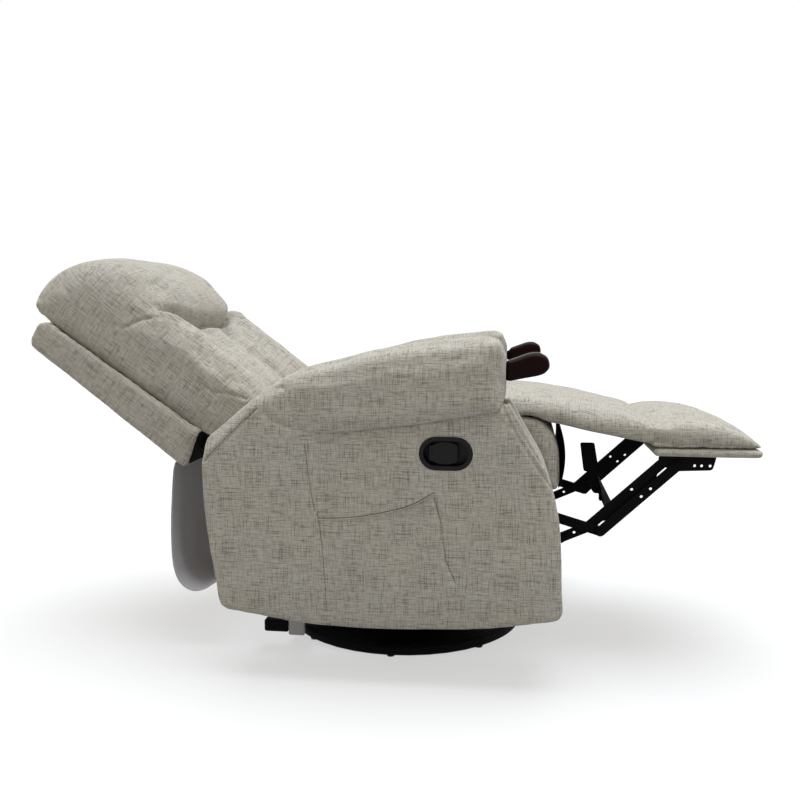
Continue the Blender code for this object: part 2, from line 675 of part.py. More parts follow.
# Lever surround, a cup set in the right arm, with the pin that its paddle turns on
faceY = PANEL_OUT + GAP
bezel = extrude("lever_surround", oval(0), *span(-1, faceY, faceY + 0.004))
add(bezel, extrude("cup", oval(cupRim), *span(-1, faceY - LEVER_DEEP, faceY + 0.002)))
cut(bezel, extrude("inside", oval(cupIn), *span(-1, faceY - LEVER_DEEP + 0.003, faceY + 0.01)))
hingeX = LEVER_X - LEVER_A + 0.022
hingeY = faceY - 0.006
cupMid = LEVER_X - LEVER_A + LEVER_B
hingeHalf = math.sqrt((LEVER_B + cupIn) ** 2 - (cupMid - hingeX + 0.005) ** 2) - 0.0010
pinR = 0.002
barrelR = 0.0050


def upright(name, radius, low, high, count=12):
    bm = bmesh.new()
    bmesh.ops.create_cone(bm, cap_ends=True, segments=count, radius1=radius, radius2=radius, depth=high - low,
                          matrix=Matrix.Translation((hingeX, -hingeY, (low + high) / 2)))
    return solid(name, bm)


seat = hingeHalf + 0.0035
cut(bezel, upright("seat", pinR + PIN_PLAY, LEVER_Z - seat - GAP, LEVER_Z + seat + GAP))
paint(bezel, "plastic")
paint(upright("lever_pin", pinR, LEVER_Z - seat, LEVER_Z + seat), "wire")
barrel = upright("lever_paddle", barrelR, LEVER_Z - hingeHalf + 0.003, LEVER_Z + hingeHalf - 0.003)
for k in (-1, 0, 1):
    rib = hingeHalf * 0.5 * k
    add(barrel, upright("rib", barrelR + 0.0008, LEVER_Z + rib - 0.0012, LEVER_Z + rib + 0.0012))
bladeEnd = LEVER_X + LEVER_A * 0.42
bladeB = LEVER_B + cupIn - 0.0012
bladeLoop = [(hingeX, LEVER_Z - hingeHalf + 0.004), (LEVER_X - 0.012, LEVER_Z - bladeB * 0.93),
             (LEVER_X + 0.006, LEVER_Z - bladeB * 0.93), (bladeEnd, LEVER_Z - bladeB * 0.72, 0.006),
             (bladeEnd, LEVER_Z + bladeB * 0.72, 0.006), (LEVER_X + 0.006, LEVER_Z + bladeB * 0.93),
             (LEVER_X - 0.012, LEVER_Z + bladeB * 0.93), (hingeX, LEVER_Z + hingeHalf - 0.004)]
add(barrel, extrude("blade", fillet(bladeLoop), *span(-1, hingeY - 0.0015, hingeY + 0.0035)))
lip = block("lip", (bladeEnd - 0.004, -hingeY + 0.001, LEVER_Z - bladeB * 0.5),
            (bladeEnd - 0.0005, -hingeY + 0.006, LEVER_Z + bladeB * 0.5))
add(barrel, lip)
cut(barrel, upright("bore", pinR + PIN_PLAY, LEVER_Z - hingeHalf - 0.01, LEVER_Z + hingeHalf + 0.01))
paint(barrel, "plastic")
pivot(barrel, (hingeX, -hingeY, LEVER_Z))

# Seat frame, spring wire and the plates that glide on the mechanism
railTop = RAIL_LOW + RAIL_H
frame = block("seat_frame", (SEAT_REAR, -SEAT_W + 0.002, RAIL_LOW), (RAIL_FRONT, SEAT_W - 0.002, railTop))
room = block("room", (SEAT_REAR + RAIL_T, -SEAT_W + 0.002 + RAIL_T, RAIL_LOW - 0.01),
             (RAIL_FRONT - RAIL_T, SEAT_W - 0.002 - RAIL_T, railTop + 0.01))
paint(cut(frame, room), "timber")

wireZ = railTop - 0.010
lanes = 4
zigs = 8
laneY = (SEAT_W - RAIL_T) * 1.3 / lanes
wireX0 = SEAT_REAR + RAIL_T + GAP + WIRE_R
wireX1 = RAIL_FRONT - RAIL_T - GAP - WIRE_R
curve = bpy.data.curves.new("zigzag", "CURVE")
curve.dimensions = "3D"
curve.bevel_depth = WIRE_R
curve.bevel_resolution = 0
curve.use_fill_caps = True
route = []
for lane in range(lanes):
    middle = (lane - (lanes - 1) / 2) * laneY
    xs = [wireX0 + (wireX1 - wireX0) * k / zigs for k in range(zigs + 1)]
    if lane % 2:
        xs.reverse()
    for k, x in enumerate(xs):
        ends = k in (0, zigs)
        route.append((x, middle if ends else middle + (0.018 if k % 2 else -0.018), wireZ))
spline = curve.splines.new("POLY")
spline.points.add(len(route) - 1)
for point, place in zip(spline.points, route):
    point.co = (*place, 1)
holder = bpy.data.objects.new("zigzag", curve)
bpy.context.scene.collection.objects.link(holder)
graph = bpy.context.evaluated_depsgraph_get()
mesh = bpy.data.meshes.new_from_object(holder.evaluated_get(graph))
bpy.data.objects.remove(holder, do_unlink=True)
bm = bmesh.new()
bm.from_mesh(mesh)
bmesh.ops.remove_doubles(bm, verts=bm.verts, dist=1e-6)
solid("seat_spring_wire", bm, "wire")

plateTop = RAIL_LOW - GAP
ear = BACK_PIVOT
for side, end in ((-1, "right"), (1, "left")):
    low, high = span(side, SEATPLATE_IN, SEATPLATE_OUT)
    outline = fillet([(ear[0] - 0.018, 0.345, 0.01), (-0.150, 0.303, 0.05),
                      (CONTROL_PIVOT[0], CONTROL_PIVOT[1] - 0.016, 0.02),
                      (FRONT_PIVOT[0] + 0.012, FRONT_PIVOT[1] - 0.018, 0.012),
                      (FRONT_PIVOT[0] + 0.018, plateTop - 0.001, 0.01),
                      (SEAT_REAR - 0.030, plateTop - 0.001, 0.02),
                      (ear[0] + 0.020, ear[1] + 0.010, 0.016), (ear[0] - 0.016, ear[1] + 0.020, 0.016)])
    holes = []
    for guide in (rearGuide, frontGuide):
        far = (guide[0] + glide[0] * GLIDE_TRAVEL, guide[1] + glide[1] * GLIDE_TRAVEL)
        holes.append(slot(guide, far, guideR + PIN_PLAY))
    steel = plate("seat_plate_" + end, [outline] + holes, low, high)
    low, high = span(side, SEATPLATE_IN + 0.001, SEAT_W - 0.003)
    flangeEnd = FRONT_PIVOT[0] + 0.010
    add(steel, block("flange", (SEAT_REAR, low, plateTop - PLATE_T), (flangeEnd, high, plateTop)))
    add(steel, rivet(side, FRONT_PIVOT, SEATPLATE_IN + 0.001, LAYER2_IN - 0.0006))
    add(steel, rivet(side, CONTROL_PIVOT, SEATPLATE_IN + 0.001, LAYER2_IN - 0.0006))
    add(steel, rivet(side, BACK_PIVOT, SEATPLATE_IN + 0.001, LAYER3_IN - 0.0006, 0.006))
    paint(steel, "steel")

# Padded front box of the seat with its black lining
boxHalf = SEAT_W - 0.004
boxX = RAIL_FRONT + GAP
boxLoop = fillet([(boxX, RAIL_LOW - 0.002), (BOX_FRONT, RAIL_LOW - 0.001, 0.006),
                  (BOX_FRONT - 0.002, 0.455, 0.05), (BOX_FRONT - 0.013, 0.492, 0.02),
                  (BOX_FRONT - 0.040, 0.516, 0.03), (boxX, 0.5245)])
extrude("seat_front_box", boxLoop, -boxHalf, boxHalf, "fabric", 0.006, 2)
block("seat_front_lining", (BOX_FRONT + GAP, -boxHalf + 0.012, RAIL_LOW + 0.004),
      (BOX_FRONT + GAP + 0.002, boxHalf - 0.012, 0.452), "lining")

# Seat cushion
seatBack = SEAT_REAR + SEAT_SHORT
seatLoop = fillet([(seatBack - 0.002, railTop + GAP, 0.02), (boxX - 0.006, railTop + GAP, 0.006),
                   (boxX - 0.005, 0.5255, 0.004), (BOX_FRONT - 0.040, 0.5190, 0.02),
                   (BOX_FRONT - 0.008, 0.5045, 0.02),
                   (BOX_FRONT + 0.001, 0.528, 0.016), (BOX_FRONT - 0.006, SEAT_TOP - 0.009, 0.016),
                   (BOX_FRONT - 0.075, SEAT_TOP, 0.1), (0.180, SEAT_TOP - 0.012, 0.3),
                   (0.0, SEAT_TOP - 0.054, 0.3),
                   (seatBack, SEAT_TOP - 0.070, 0.024)], 2)
cushion("seat_cushion", seatLoop, -SEAT_W, SEAT_W, "fabric", 0.018, 0.010)

# Footrest links, left and right alike
for side, end in ((-1, "right"), (1, "left")):
    low1, high1 = span(side, LAYER1_IN, LAYER1_OUT)
    low2, high2 = span(side, LAYER2_IN, LAYER2_OUT)
    low3, high3 = span(side, LAYER3_IN, LAYER3_OUT)
    bore = PIN_R + PIN_PLAY
    strip = barOutline((FRONT_PIVOT, FRONT_END), LINK_R)
    front = plate("front_link_" + end, [strip, circle(FRONT_PIVOT, bore)], low2, high2)
    add(front, rivet(side, CROSS, LAYER2_OUT - 0.001, LAYER1_IN - 0.0006))
    add(front, rivet(side, FRONT_END, LAYER2_IN + 0.001, LAYER3_OUT + 0.0006))
    paint(front, "steel")
    pivot(front, (FRONT_PIVOT[0], 0, FRONT_PIVOT[1]))

    extra = [circle(polar(CROSS, DIAG_ANGLE, DIAG_LEN * 0.58), 0.003, 10),
             circle(polar(CROSS, TAIL_ANGLE + 180, TAIL_LEN * 0.5), 0.003, 10)]
    run = [polar(CROSS, DIAG_ANGLE, DIAG_LEN * at) for at in (0.15, 0.22, 0.80, 0.87)]
    strip = barOutline((TAIL, CROSS, *run, FOOT_PIN_REAR), LINK_R, 6, {3: WEB_W, 4: WEB_W})
    holes = [circle(CROSS, bore), circle(FOOT_PIN_REAR, bore), circle(TAIL, PIN_R + OPEN_PLAY)]
    long = plate("long_link_" + end, [strip] + holes + extra, low1, high1, "steel")
    pivot(long, (CROSS[0], 0, CROSS[1]))

    extra = [circle(polar(FRONT_END, DIAG_ANGLE, DIAG_LEN * at), 0.003, 10) for at in (0.54, 0.66)]
    strip = barOutline((FRONT_END, FOOT_PIN), LINK_R)
    holes = [circle(FRONT_END, bore), circle(FOOT_PIN, bore)]
    lower = plate("lower_link_" + end, [strip] + holes + extra, low3, high3, "steel")
    pivot(lower, (FRONT_END[0], 0, FRONT_END[1]))

    strip = barOutline((CONTROL_PIVOT, TAIL), LINK_R)
    control = plate("control_link_" + end, [strip, circle(CONTROL_PIVOT, bore)], low2, high2)
    add(control, rivet(side, TAIL, LAYER2_OUT - 0.001, LAYER1_IN - 0.0006))
    paint(control, "steel")
    pivot(control, (CONTROL_PIVOT[0], 0, CONTROL_PIVOT[1]))

    footTop = BOARD_LOW - GAP
    outline = fillet([(FOOT_PIN_REAR[0] - 0.011, FOOT_PIN_REAR[1] - 0.006, 0.008),
                      (FOOT_PIN[0] - 0.002, FOOT_PIN[1] - 0.0115, 0.008),
                      (FOOT_PIN[0] + 0.072, FOOT_PIN[1] - 0.008, 0.008),
                      (FOOT_PIN[0] + 0.080, footTop - 0.001, 0.004),
                      (FOOT_PIN_REAR[0] - 0.012, footTop - 0.001, 0.006)])
    rowZ = FOOT_PIN[1] + 0.001
    holes = [circle((FOOT_PIN[0] + at, rowZ), 0.003, 10, at * 700) for at in (0.036, 0.050, 0.067)]
    foot = plate("foot_bracket_" + end, [outline] + holes, low2, high2)
    low, high = span(side, LAYER2_IN - 0.022, LAYER2_OUT - 0.001)
    add(foot, block("flange", (FOOT_PIN[0] + 0.010, low, footTop - PLATE_T),
                    (FOOT_PIN[0] + 0.078, high, footTop)))
    add(foot, rivet(side, FOOT_PIN, LAYER2_IN + 0.001, LAYER3_OUT + 0.0006))
    add(foot, rivet(side, FOOT_PIN_REAR, LAYER2_OUT - 0.001, LAYER1_IN - 0.0006))
    paint(foot, "steel")
    pivot(foot, (FOOT_PIN[0], 0, FOOT_PIN[1]))

# Cross bar between the long links and the one upright that steadies the middle pad
barAt = polar(CROSS, DIAG_ANGLE, DIAG_LEN * 0.29)
tie = 0.007
linkBar = block("link_bar", (barAt[0] - tie, -LAYER1_IN + GAP, barAt[1] - tie),
                (barAt[0] + tie, LAYER1_IN - GAP, barAt[1] + tie), "steel")
pivot(linkBar, (CROSS[0], 0, CROSS[1]))
propY = -0.100
knee = (barAt[0] - 0.030, barAt[1] + 0.066)
propX = barAt[0] - tie - GAP
stem = barOutline(((propX - 0.0105, barAt[1] + 0.018), knee), 0.0105)
prop = plate("pad_prop", [stem], propY - 0.002, propY + 0.002)
head = fillet([(knee[0] - 0.0165, knee[1] - 0.010, 0.006), (knee[0] + 0.0165, knee[1] - 0.004, 0.006),
               (knee[0] + 0.006, knee[1] + 0.056, 0.004), (knee[0] - 0.0255, knee[1] + 0.056, 0.004)])
add(prop, extrude("head", head, propY - 0.002, propY + 0.002))
add(prop, block("foot", (propX - 0.004, propY - 0.012, barAt[1] - tie),
                (propX, propY + 0.012, barAt[1] + 0.022)))
paint(prop, "steel")
pivot(prop, (CROSS[0], 0, CROSS[1]))

# Footrest board with its pad, and the middle pad that bends at the seat edge
boardY = SEAT_W - 0.001
board = block("footrest_board", (BOARD_REAR, -boardY, BOARD_LOW), (BOARD_FRONT, boardY, BOARD_TOP), "fabric",
              0.004)
pivot(board, (FOOT_PIN[0], 0, FOOT_PIN[1]))
padRear = BOARD_REAR + 0.001
padLow = BOARD_TOP + GAP
padLoop = fillet([(padRear + 0.003, padLow, 0.008), (BOARD_FRONT - 0.001, padLow, 0.003),
                  (BOARD_FRONT - 0.003, padLow + 0.006, 0.004), (BOARD_FRONT - 0.023, padLow + 0.026, 0.03),
                  (BOARD_FRONT - 0.056, padLow + 0.045, 0.06), (BOARD_FRONT - 0.130, padLow + 0.056, 0.1),
                  (padRear + 0.028, padLow + 0.050, 0.05), (padRear, padLow + 0.030, 0.016)])
footPad = cushion("footrest_pad", padLoop, -SEAT_W, SEAT_W, "fabric", 0.012, 0.010)
pivot(footPad, (FOOT_PIN[0], 0, FOOT_PIN[1]))

cx, cz = CHAISE_HINGE
chaiseEnd = padRear - 0.003
chaiseLoop = fillet([(cx, cz - 0.001, 0.012), (cx + 0.080, cz - 0.022, 0.1),
                     (chaiseEnd - 0.006, cz - 0.037, 0.010), (chaiseEnd, cz - 0.014, 0.012),
                     (chaiseEnd - 0.028, cz + 0.009, 0.05), (cx + 0.110, cz + 0.026, 0.1),
                     (cx + 0.050, cz + 0.039, 0.1), (cx + 0.001, cz + 0.046, 0.014)])
chaise = cushion("chaise_pad", chaiseLoop, -SEAT_W, SEAT_W, "fabric", 0.014, 0.010)
pivot(chaise, (cx, 0, cz))

# Backrest, drawn flat as (along, out) and then laid back


def rearAt(u):
    # Rear of the cushions, along the front edge of the shell
    return -0.0200 - 0.040 * (u - SLAB_LOW)


def shellRear(u):
    return -0.1080 + 0.010 * (u - SLAB_LOW)


shellLow = SLAB_LOW - SLAB_SLANT
slabLoop = fillet([(shellLow, shellRear(shellLow), 0.012), (SLAB_TOP, shellRear(SLAB_TOP), 0.016),
                   (SLAB_TOP + 0.009, -0.052, 0.012), (SLAB_TOP - 0.010, rearAt(SLAB_TOP) - 0.0001, 0.006),
                   (SLAB_LOW, rearAt(SLAB_LOW) - 0.0001, 0.006)])
slab = extrude("back_shell", slabLoop, -SLAB_HALF, SLAB_HALF, None, 0.010, 2)
tray = fillet([(SLAB_LOW + 0.016, -0.095), (SLAB_TOP - 0.014, -0.090), (SLAB_TOP - 0.014, 0.02),
               (SLAB_LOW + 0.016, 0.02)])
cut(slab, extrude("tray", tray, -SLAB_HALF + 0.016, SLAB_HALF - 0.016))
for side in (-1, 1):
    low, high = span(side, LAYER3_IN - 0.0015, LAYER3_OUT + 0.0015)
    cut(slab, block("slot", (SLAB_LOW - 0.05, low, -0.090), (SLAB_LOW + 0.03, high, 0.01)))
paint(slab, "fabric")
lieBack(slab)

postOut = LAYER3_IN - GAP
frameLow = SLAB_LOW + 0.020
frameTop = SLAB_TOP - 0.020
frameDeep = -0.076
frameLoop = [(frameLow, frameDeep), (frameTop, frameDeep), (frameTop, rearAt(frameTop) - GAP),
             (frameLow, rearAt(frameLow) - GAP)]
back = extrude("back_frame", frameLoop, -postOut, postOut)
for first, last in ((frameLow + 0.030, frameLow + 0.160), (frameLow + 0.185, frameTop - 0.030)):
    cut(back, block("window", (first, -postOut + 0.025, frameDeep - 0.01), (last, postOut - 0.025, 0.02)))
paint(back, "timber")
lieBack(back)

for side, end in ((-1, "right"), (1, "left")):
    low, high = span(side, LAYER3_IN, LAYER3_OUT)
    outline = barOutline(((0, 0), (0.120, -0.050), (0.400, -0.058)), 0.013)
    bracket = plate("back_bracket_" + end, [outline, circle((0, 0), 0.006 + PIN_PLAY)], low, high, "steel")
    lieBack(bracket)
    pivot(bracket, (BACK_PIVOT[0], 0, BACK_PIVOT[1]))

cushTop = HEAD_LOW - 0.003
cushLoop = fillet([(0.015, 0.045, 0.032), (0.160, rearAt(0.160), 0.06), (cushTop, rearAt(cushTop), 0.020),
                   (cushTop, 0.138, 0.036), (0.300, 0.152, 0.1), (0.190, 0.148, 0.1),
                   (0.080, 0.124, 0.06), (0.0, 0.104, 0.032)])
channel = BACK_HALF * 0.35
backCushion = cushion("back_cushion", cushLoop, -BACK_HALF, BACK_HALF, "fabric", 0.040, 0.0, (0, 1),
                      ((-channel, 0.020, 0.016), (0.0, 0.018, 0.075), (channel, 0.020, 0.016)), 0.4)
lieBack(backCushion)

headEnd = HEAD_TOP - 0.026
headHalf = BACK_HALF + 0.008
headLoop = fillet([(HEAD_LOW, rearAt(HEAD_LOW), 0.020), (headEnd, rearAt(headEnd), 0.030),
                   (HEAD_TOP - 0.004, 0.008, 0.04), (HEAD_TOP - 0.016, 0.060, 0.06),
                   (HEAD_TOP - 0.066, 0.116, 0.07), (HEAD_TOP - 0.128, 0.146, 0.07),
                   (HEAD_LOW + 0.100, 0.156, 0.07), (HEAD_LOW + 0.030, 0.146, 0.05), (HEAD_LOW, 0.106, 0.036)])
headrest = cushion("headrest", headLoop, -headHalf, headHalf, "fabric", 0.075, 0.026, (0, 1), (), 0.3)
lieBack(headrest)

# Cloth that closes the rear, hung from the foot of the back shell


def onBack(u, w):
    return (BACK_PIVOT[0] + u * BACK_U.x + w * BACK_N.x, BACK_PIVOT[1] + u * BACK_U.z + w * BACK_N.z)


clothT = 0.0016
hangAt = SLAB_LOW + 0.004
hx, hz = onBack(hangAt, shellRear(hangAt) - GAP - clothT)
clothPath = [(hx, hz), (hx - 0.0050, hz - 0.020), (hx - 0.0100, hz - 0.070), (hx - 0.0150, hz - 0.140),
             (hx - 0.0150, hz - 0.205), (hx - 0.0080, hz - 0.243), (hx + 0.0070, hz - 0.265),
             (hx + 0.0300, hz - 0.275), (hx + 0.0540, hz - 0.270), (hx + 0.0760, hz - 0.257)]
clothLoop = barOutline(clothPath, clothT, 4)
clothHalf = SLAB_HALF - 0.006
rings = []
folds = 17
for k in range(folds + 1):
    y = -clothHalf + 2 * clothHalf * k / folds
    wave = math.sin(4.3 * math.pi * k / folds + 0.6) + 0.5 * math.sin(9.1 * math.pi * k / folds)
    ring = []
    for x, z in clothLoop:
        drop = min(1, max(0, (hz - z) / 0.25))
        ring.append((x + 0.006 * wave * drop, y, z + 0.003 * wave * drop * drop))
    rings.append(ring)
flap = loft("rear_cloth", rings, "fabric")
pivot(flap, (hx, 0, hz))

# Origin on the floor under the middle of the chair
for node in bpy.data.objects:
    node.location.x += CENTRE_X
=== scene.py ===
# Upholstery, finishes, light and camera for the swivel rocker recliner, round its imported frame
import json
import math

import bmesh
import bpy
import numpy as np
from mathutils import Euler, Matrix, Vector, noise
from mathutils.bvhtree import BVHTree
from mathutils.kdtree import KDTree


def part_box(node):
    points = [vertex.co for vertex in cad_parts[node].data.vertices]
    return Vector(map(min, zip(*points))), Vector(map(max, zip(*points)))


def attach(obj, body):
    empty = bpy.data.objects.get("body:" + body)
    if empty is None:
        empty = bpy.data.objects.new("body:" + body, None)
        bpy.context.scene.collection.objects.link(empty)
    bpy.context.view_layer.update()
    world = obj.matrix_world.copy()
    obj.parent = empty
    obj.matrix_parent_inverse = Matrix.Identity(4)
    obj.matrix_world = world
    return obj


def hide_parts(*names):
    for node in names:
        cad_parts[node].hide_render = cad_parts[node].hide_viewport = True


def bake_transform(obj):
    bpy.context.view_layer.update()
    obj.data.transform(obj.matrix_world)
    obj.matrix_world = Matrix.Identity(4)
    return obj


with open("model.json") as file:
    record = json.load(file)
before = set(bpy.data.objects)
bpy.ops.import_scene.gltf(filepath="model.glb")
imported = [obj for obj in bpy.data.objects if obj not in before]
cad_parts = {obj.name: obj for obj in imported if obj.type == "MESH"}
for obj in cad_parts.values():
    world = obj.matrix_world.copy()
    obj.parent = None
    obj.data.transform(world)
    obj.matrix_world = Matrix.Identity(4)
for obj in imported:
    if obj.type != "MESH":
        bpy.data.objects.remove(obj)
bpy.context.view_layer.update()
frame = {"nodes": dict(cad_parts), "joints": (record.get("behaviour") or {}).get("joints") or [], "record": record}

nodes = frame["nodes"]
joints = {joint["name"]: joint for joint in frame["joints"]}
ringX = joints["swivel"]["pos_m"][0]  # lengths below are measured from the centre of the floor ring
scene = bpy.context.scene
print("frame loaded:", len(nodes), "nodes")


def at(x, y, z):
    return Vector((x + ringX, y, z))


# Camera as in the photograph
view = {"place": (0.26613, -2.09923, 0.73174), "turn": 0.133132, "down": 0.0948375, "focal": 885.264, "frame": 800}
camera = bpy.data.cameras.new("photoView")
camera.sensor_width = 36
camera.lens = 36 * view["focal"] / view["frame"]
photoView = bpy.data.objects.new("photoView", camera)
photoView.location = at(*view["place"])
photoView.rotation_euler = (math.pi / 2 - view["down"], 0, view["turn"])
scene.collection.objects.link(photoView)
scene.camera = photoView
aim = Euler(photoView.rotation_euler).to_matrix()


def sight(px, py):  # direction from the camera through a point of the picture
    half = view["frame"] / 2
    return (aim @ Vector((px - half, half - py, -view["focal"]))).normalized()


# Socket maths for the materials
class Wire:
    def __init__(self, tree, socket=None):
        self.tree = tree
        self.socket = socket

    def make(self, kind, settings=None, inputs=None, out=0):
        node = self.tree.nodes.new(kind)
        for name, value in (settings or {}).items():
            setattr(node, name, value)
        for name, value in (inputs or {}).items():
            if isinstance(value, Wire):
                self.tree.links.new(value.socket, node.inputs[name])
            else:
                node.inputs[name].default_value = value
        return Wire(self.tree, node.outputs[out])

    def sum(self, operation, first, second):
        return self.make("ShaderNodeMath", {"operation": operation}, {0: first, 1: second})

    def __add__(self, other):
        return self.sum("ADD", self, other)

    __radd__ = __add__

    def __sub__(self, other):
        return self.sum("SUBTRACT", self, other)

    def __rsub__(self, other):
        return self.sum("SUBTRACT", other, self)

    def __mul__(self, other):
        return self.sum("MULTIPLY", self, other)

    __rmul__ = __mul__

    def step(self, low, high):  # 0 below low, 1 above high, smooth between
        return self.make("ShaderNodeMapRange", {"interpolation_type": "SMOOTHSTEP"},
                         {"Value": self, "From Min": low, "From Max": high})

    def stretch(self, scale, shift=(0, 0, 0)):
        return self.make("ShaderNodeMapping", None, {"Vector": self, "Scale": scale, "Location": shift})

    def cloud(self, scale, detail=2, rough=0.55):
        return self.make("ShaderNodeTexNoise", None,
                         {"Vector": self, "Scale": scale, "Detail": detail, "Roughness": rough})

    def tint(self, low, high):  # from one colour to another by this value
        ends = [end if isinstance(end, Wire) else (*end, 1) for end in (low, high)]
        return self.make("ShaderNodeMix", {"data_type": "RGBA"}, {0: self, 6: ends[0], 7: ends[1]}, 2)

    def bump(self, strength, distance):
        return self.make("ShaderNodeBump", None, {"Height": self, "Strength": strength, "Distance": distance})


def newFinish(name, **fixed):
    finish = bpy.data.materials.new(name)
    finish.use_nodes = True
    shader = finish.node_tree.nodes["Principled BSDF"]
    for socket, value in fixed.items():
        shader.inputs[socket.replace("_", " ")].default_value = value
    return finish, Wire(finish.node_tree), shader


def feed(wire, shader, **links):
    for socket, value in links.items():
        wire.tree.links.new(value.socket, shader.inputs[socket.replace("_", " ")])


# Fabrics
linen = {"warm": (0.580, 0.542, 0.468), "cool": (0.566, 0.540, 0.484), "dark": (0.090, 0.074, 0.052),
         "long": 20, "fine": 600, "short": 70, "sheen": 0.20}


def linenFinish():
    finish, wire, shader = newFinish("heatherLinen", Roughness=0.92, Sheen_Weight=linen["sheen"],
                                     Sheen_Roughness=0.45, Specular_IOR_Level=0.12)
    lay = wire.make("ShaderNodeUVMap", {"uv_map": "weave"})
    weft = lay.stretch((linen["long"], linen["fine"], 1)).cloud(1, 1, 0.5)
    warp = lay.stretch((linen["fine"], linen["long"], 1), (17.3, 5.1, 0)).cloud(1, 1, 0.5)
    weftShort = lay.stretch((linen["short"], 760, 1), (41.0, 2.9, 0)).cloud(1, 1, 0.5)
    warpShort = lay.stretch((760, linen["short"], 1), (8.6, 33.0, 0)).cloud(1, 1, 0.5)
    patches = lay.cloud(11, 3, 0.6)
    flecks = lay.cloud(820, 1, 0.5)
    threads = weft.step(0.46, 0.68) * 0.34 + warp.step(0.47, 0.69) * 0.30
    grain = weftShort.step(0.42, 0.70) * 0.26 + warpShort.step(0.42, 0.70) * 0.22
    tone = threads + grain + (patches - 0.5) * 0.12 + (flecks - 0.5) * 0.12
    pale = lay.stretch((1, 1, 1), (2.2, 6.1, 0)).cloud(7, 2, 0.5).step(0.35, 0.65).tint(linen["warm"], linen["cool"])
    feed(wire, shader, Base_Color=tone.tint(pale, linen["dark"]))
    height = flecks * 0.4 - threads * 0.5 - grain * 0.6
    feed(wire, shader, Normal=height.bump(0.4, 0.0007))
    return finish


def plainCloth(name, pale, dark, yarn, rough=0.9):
    finish, wire, shader = newFinish(name, Roughness=rough, Specular_IOR_Level=0.12)
    lay = wire.make("ShaderNodeTexCoord", None, None, 3)
    threads = lay.cloud(1 / yarn, 1, 0.5)
    patches = lay.cloud(14, 3, 0.6)
    tone = threads * 0.5 + patches * 0.6 - 0.1
    feed(wire, shader, Base_Color=tone.tint(pale, dark), Normal=threads.bump(0.4, 0.0004))
    return finish


# Hard finishes
def paintFinish(name, colour, rough, metal=0.0, grain=900, shine=0.15, wear=0.0):
    finish, wire, shader = newFinish(name, Metallic=metal, Specular_IOR_Level=shine)
    lay = wire.make("ShaderNodeTexCoord", None, None, 3)
    peel = lay.cloud(grain, 2, 0.5)
    scuffs = lay.cloud(35, 4, 0.65)
    worn = scuffs.step(0.56, 0.76)
    lighter = tuple(min(1, c * 1.9 + wear) for c in colour)
    feed(wire, shader, Base_Color=(worn * 0.6).tint(colour, lighter), Roughness=(scuffs - 0.5) * 0.35 + rough,
         Normal=peel.bump(0.22, 0.0003))
    return finish


def plywoodFinish():
    finish, wire, shader = newFinish("framePlywood", Roughness=0.7, Specular_IOR_Level=0.3)
    lay = wire.make("ShaderNodeTexCoord", None, None, 3)
    grain = lay.stretch((9, 60, 240)).cloud(1, 4, 0.6)
    knots = lay.stretch((4, 14, 14)).cloud(1, 2, 0.5)
    tone = grain * 0.8 + knots * 0.4 - 0.1
    feed(wire, shader, Base_Color=tone.tint((0.62, 0.45, 0.28), (0.34, 0.21, 0.11)), Normal=grain.bump(0.3, 0.0005))
    return finish


def gripFinish():
    finish, wire, shader = newFinish("stainedGrip", Specular_IOR_Level=0.035, Coat_Roughness=0.14)
    lay = wire.make("ShaderNodeTexCoord", None, None, 3)
    grain = lay.stretch((14, 260, 260)).cloud(1, 4, 0.6)
    bands = lay.stretch((5, 40, 40)).cloud(1, 3, 0.5)
    tone = grain.step(0.35, 0.7) * 0.6 + bands * 0.4
    feed(wire, shader, Base_Color=tone.tint((0.0120, 0.0030, 0.0028), (0.0060, 0.0014, 0.0014)),
         Roughness=grain * 0.12 + 0.30, Coat_Weight=bands * 0.05, Normal=grain.bump(0.10, 0.0003))
    return finish


finishes = {
    "linen": linenFinish(),
    "lining": plainCloth("blackLining", (0.012, 0.012, 0.0125), (0.004, 0.004, 0.004), 0.0011),
    "backing": plainCloth("paleBacking", (0.66, 0.65, 0.67), (0.50, 0.49, 0.51), 0.0014, 0.8),
    "steel": paintFinish("blackPaint", (0.0042, 0.0042, 0.0045), 0.62, 0.0, 900, 0.045, 0.001),
    "zinc": paintFinish("zincWire", (0.30, 0.30, 0.31), 0.36, 0.9, 700),
    "plastic": paintFinish("blackPlastic", (0.0040, 0.0040, 0.0042), 0.34, 0.0, 1600, 0.16),
    "timber": plywoodFinish(),
    "grip": gripFinish(),
    "nylon": paintFinish("paleNylon", (0.52, 0.52, 0.51), 0.45, 0.0, 1200, 0.3),
    "thread": plainCloth("sewingThread", (0.190, 0.170, 0.135), (0.075, 0.064, 0.048), 0.0006),
}
print("finishes made:", len(finishes))


# Mesh tools
def pieceFrom(name, bm):
    mesh = bpy.data.meshes.new(name)
    bm.to_mesh(mesh)
    bm.free()
    obj = bpy.data.objects.new(name, mesh)
    scene.collection.objects.link(obj)
    return obj


def cadCopy(*names):
    bm = bmesh.new()
    for name in names:
        bm.from_mesh(nodes[name].data)
    bmesh.ops.remove_doubles(bm, verts=bm.verts, dist=1e-5)
    return bm


def settled(obj):  # the modifiers' result becomes the mesh
    graph = bpy.context.evaluated_depsgraph_get()
    mesh = bpy.data.meshes.new_from_object(obj.evaluated_get(graph))
    obj.modifiers.clear()
    obj.data = mesh
    return obj


def skin(obj, size):
    remesh = obj.modifiers.new("skin", "REMESH")
    remesh.mode = "VOXEL"
    remesh.voxel_size = size
    return settled(obj)


def finer(obj, levels=1):
    smooth = obj.modifiers.new("finer", "SUBSURF")
    smooth.levels = levels
    smooth.render_levels = levels
    return settled(obj)


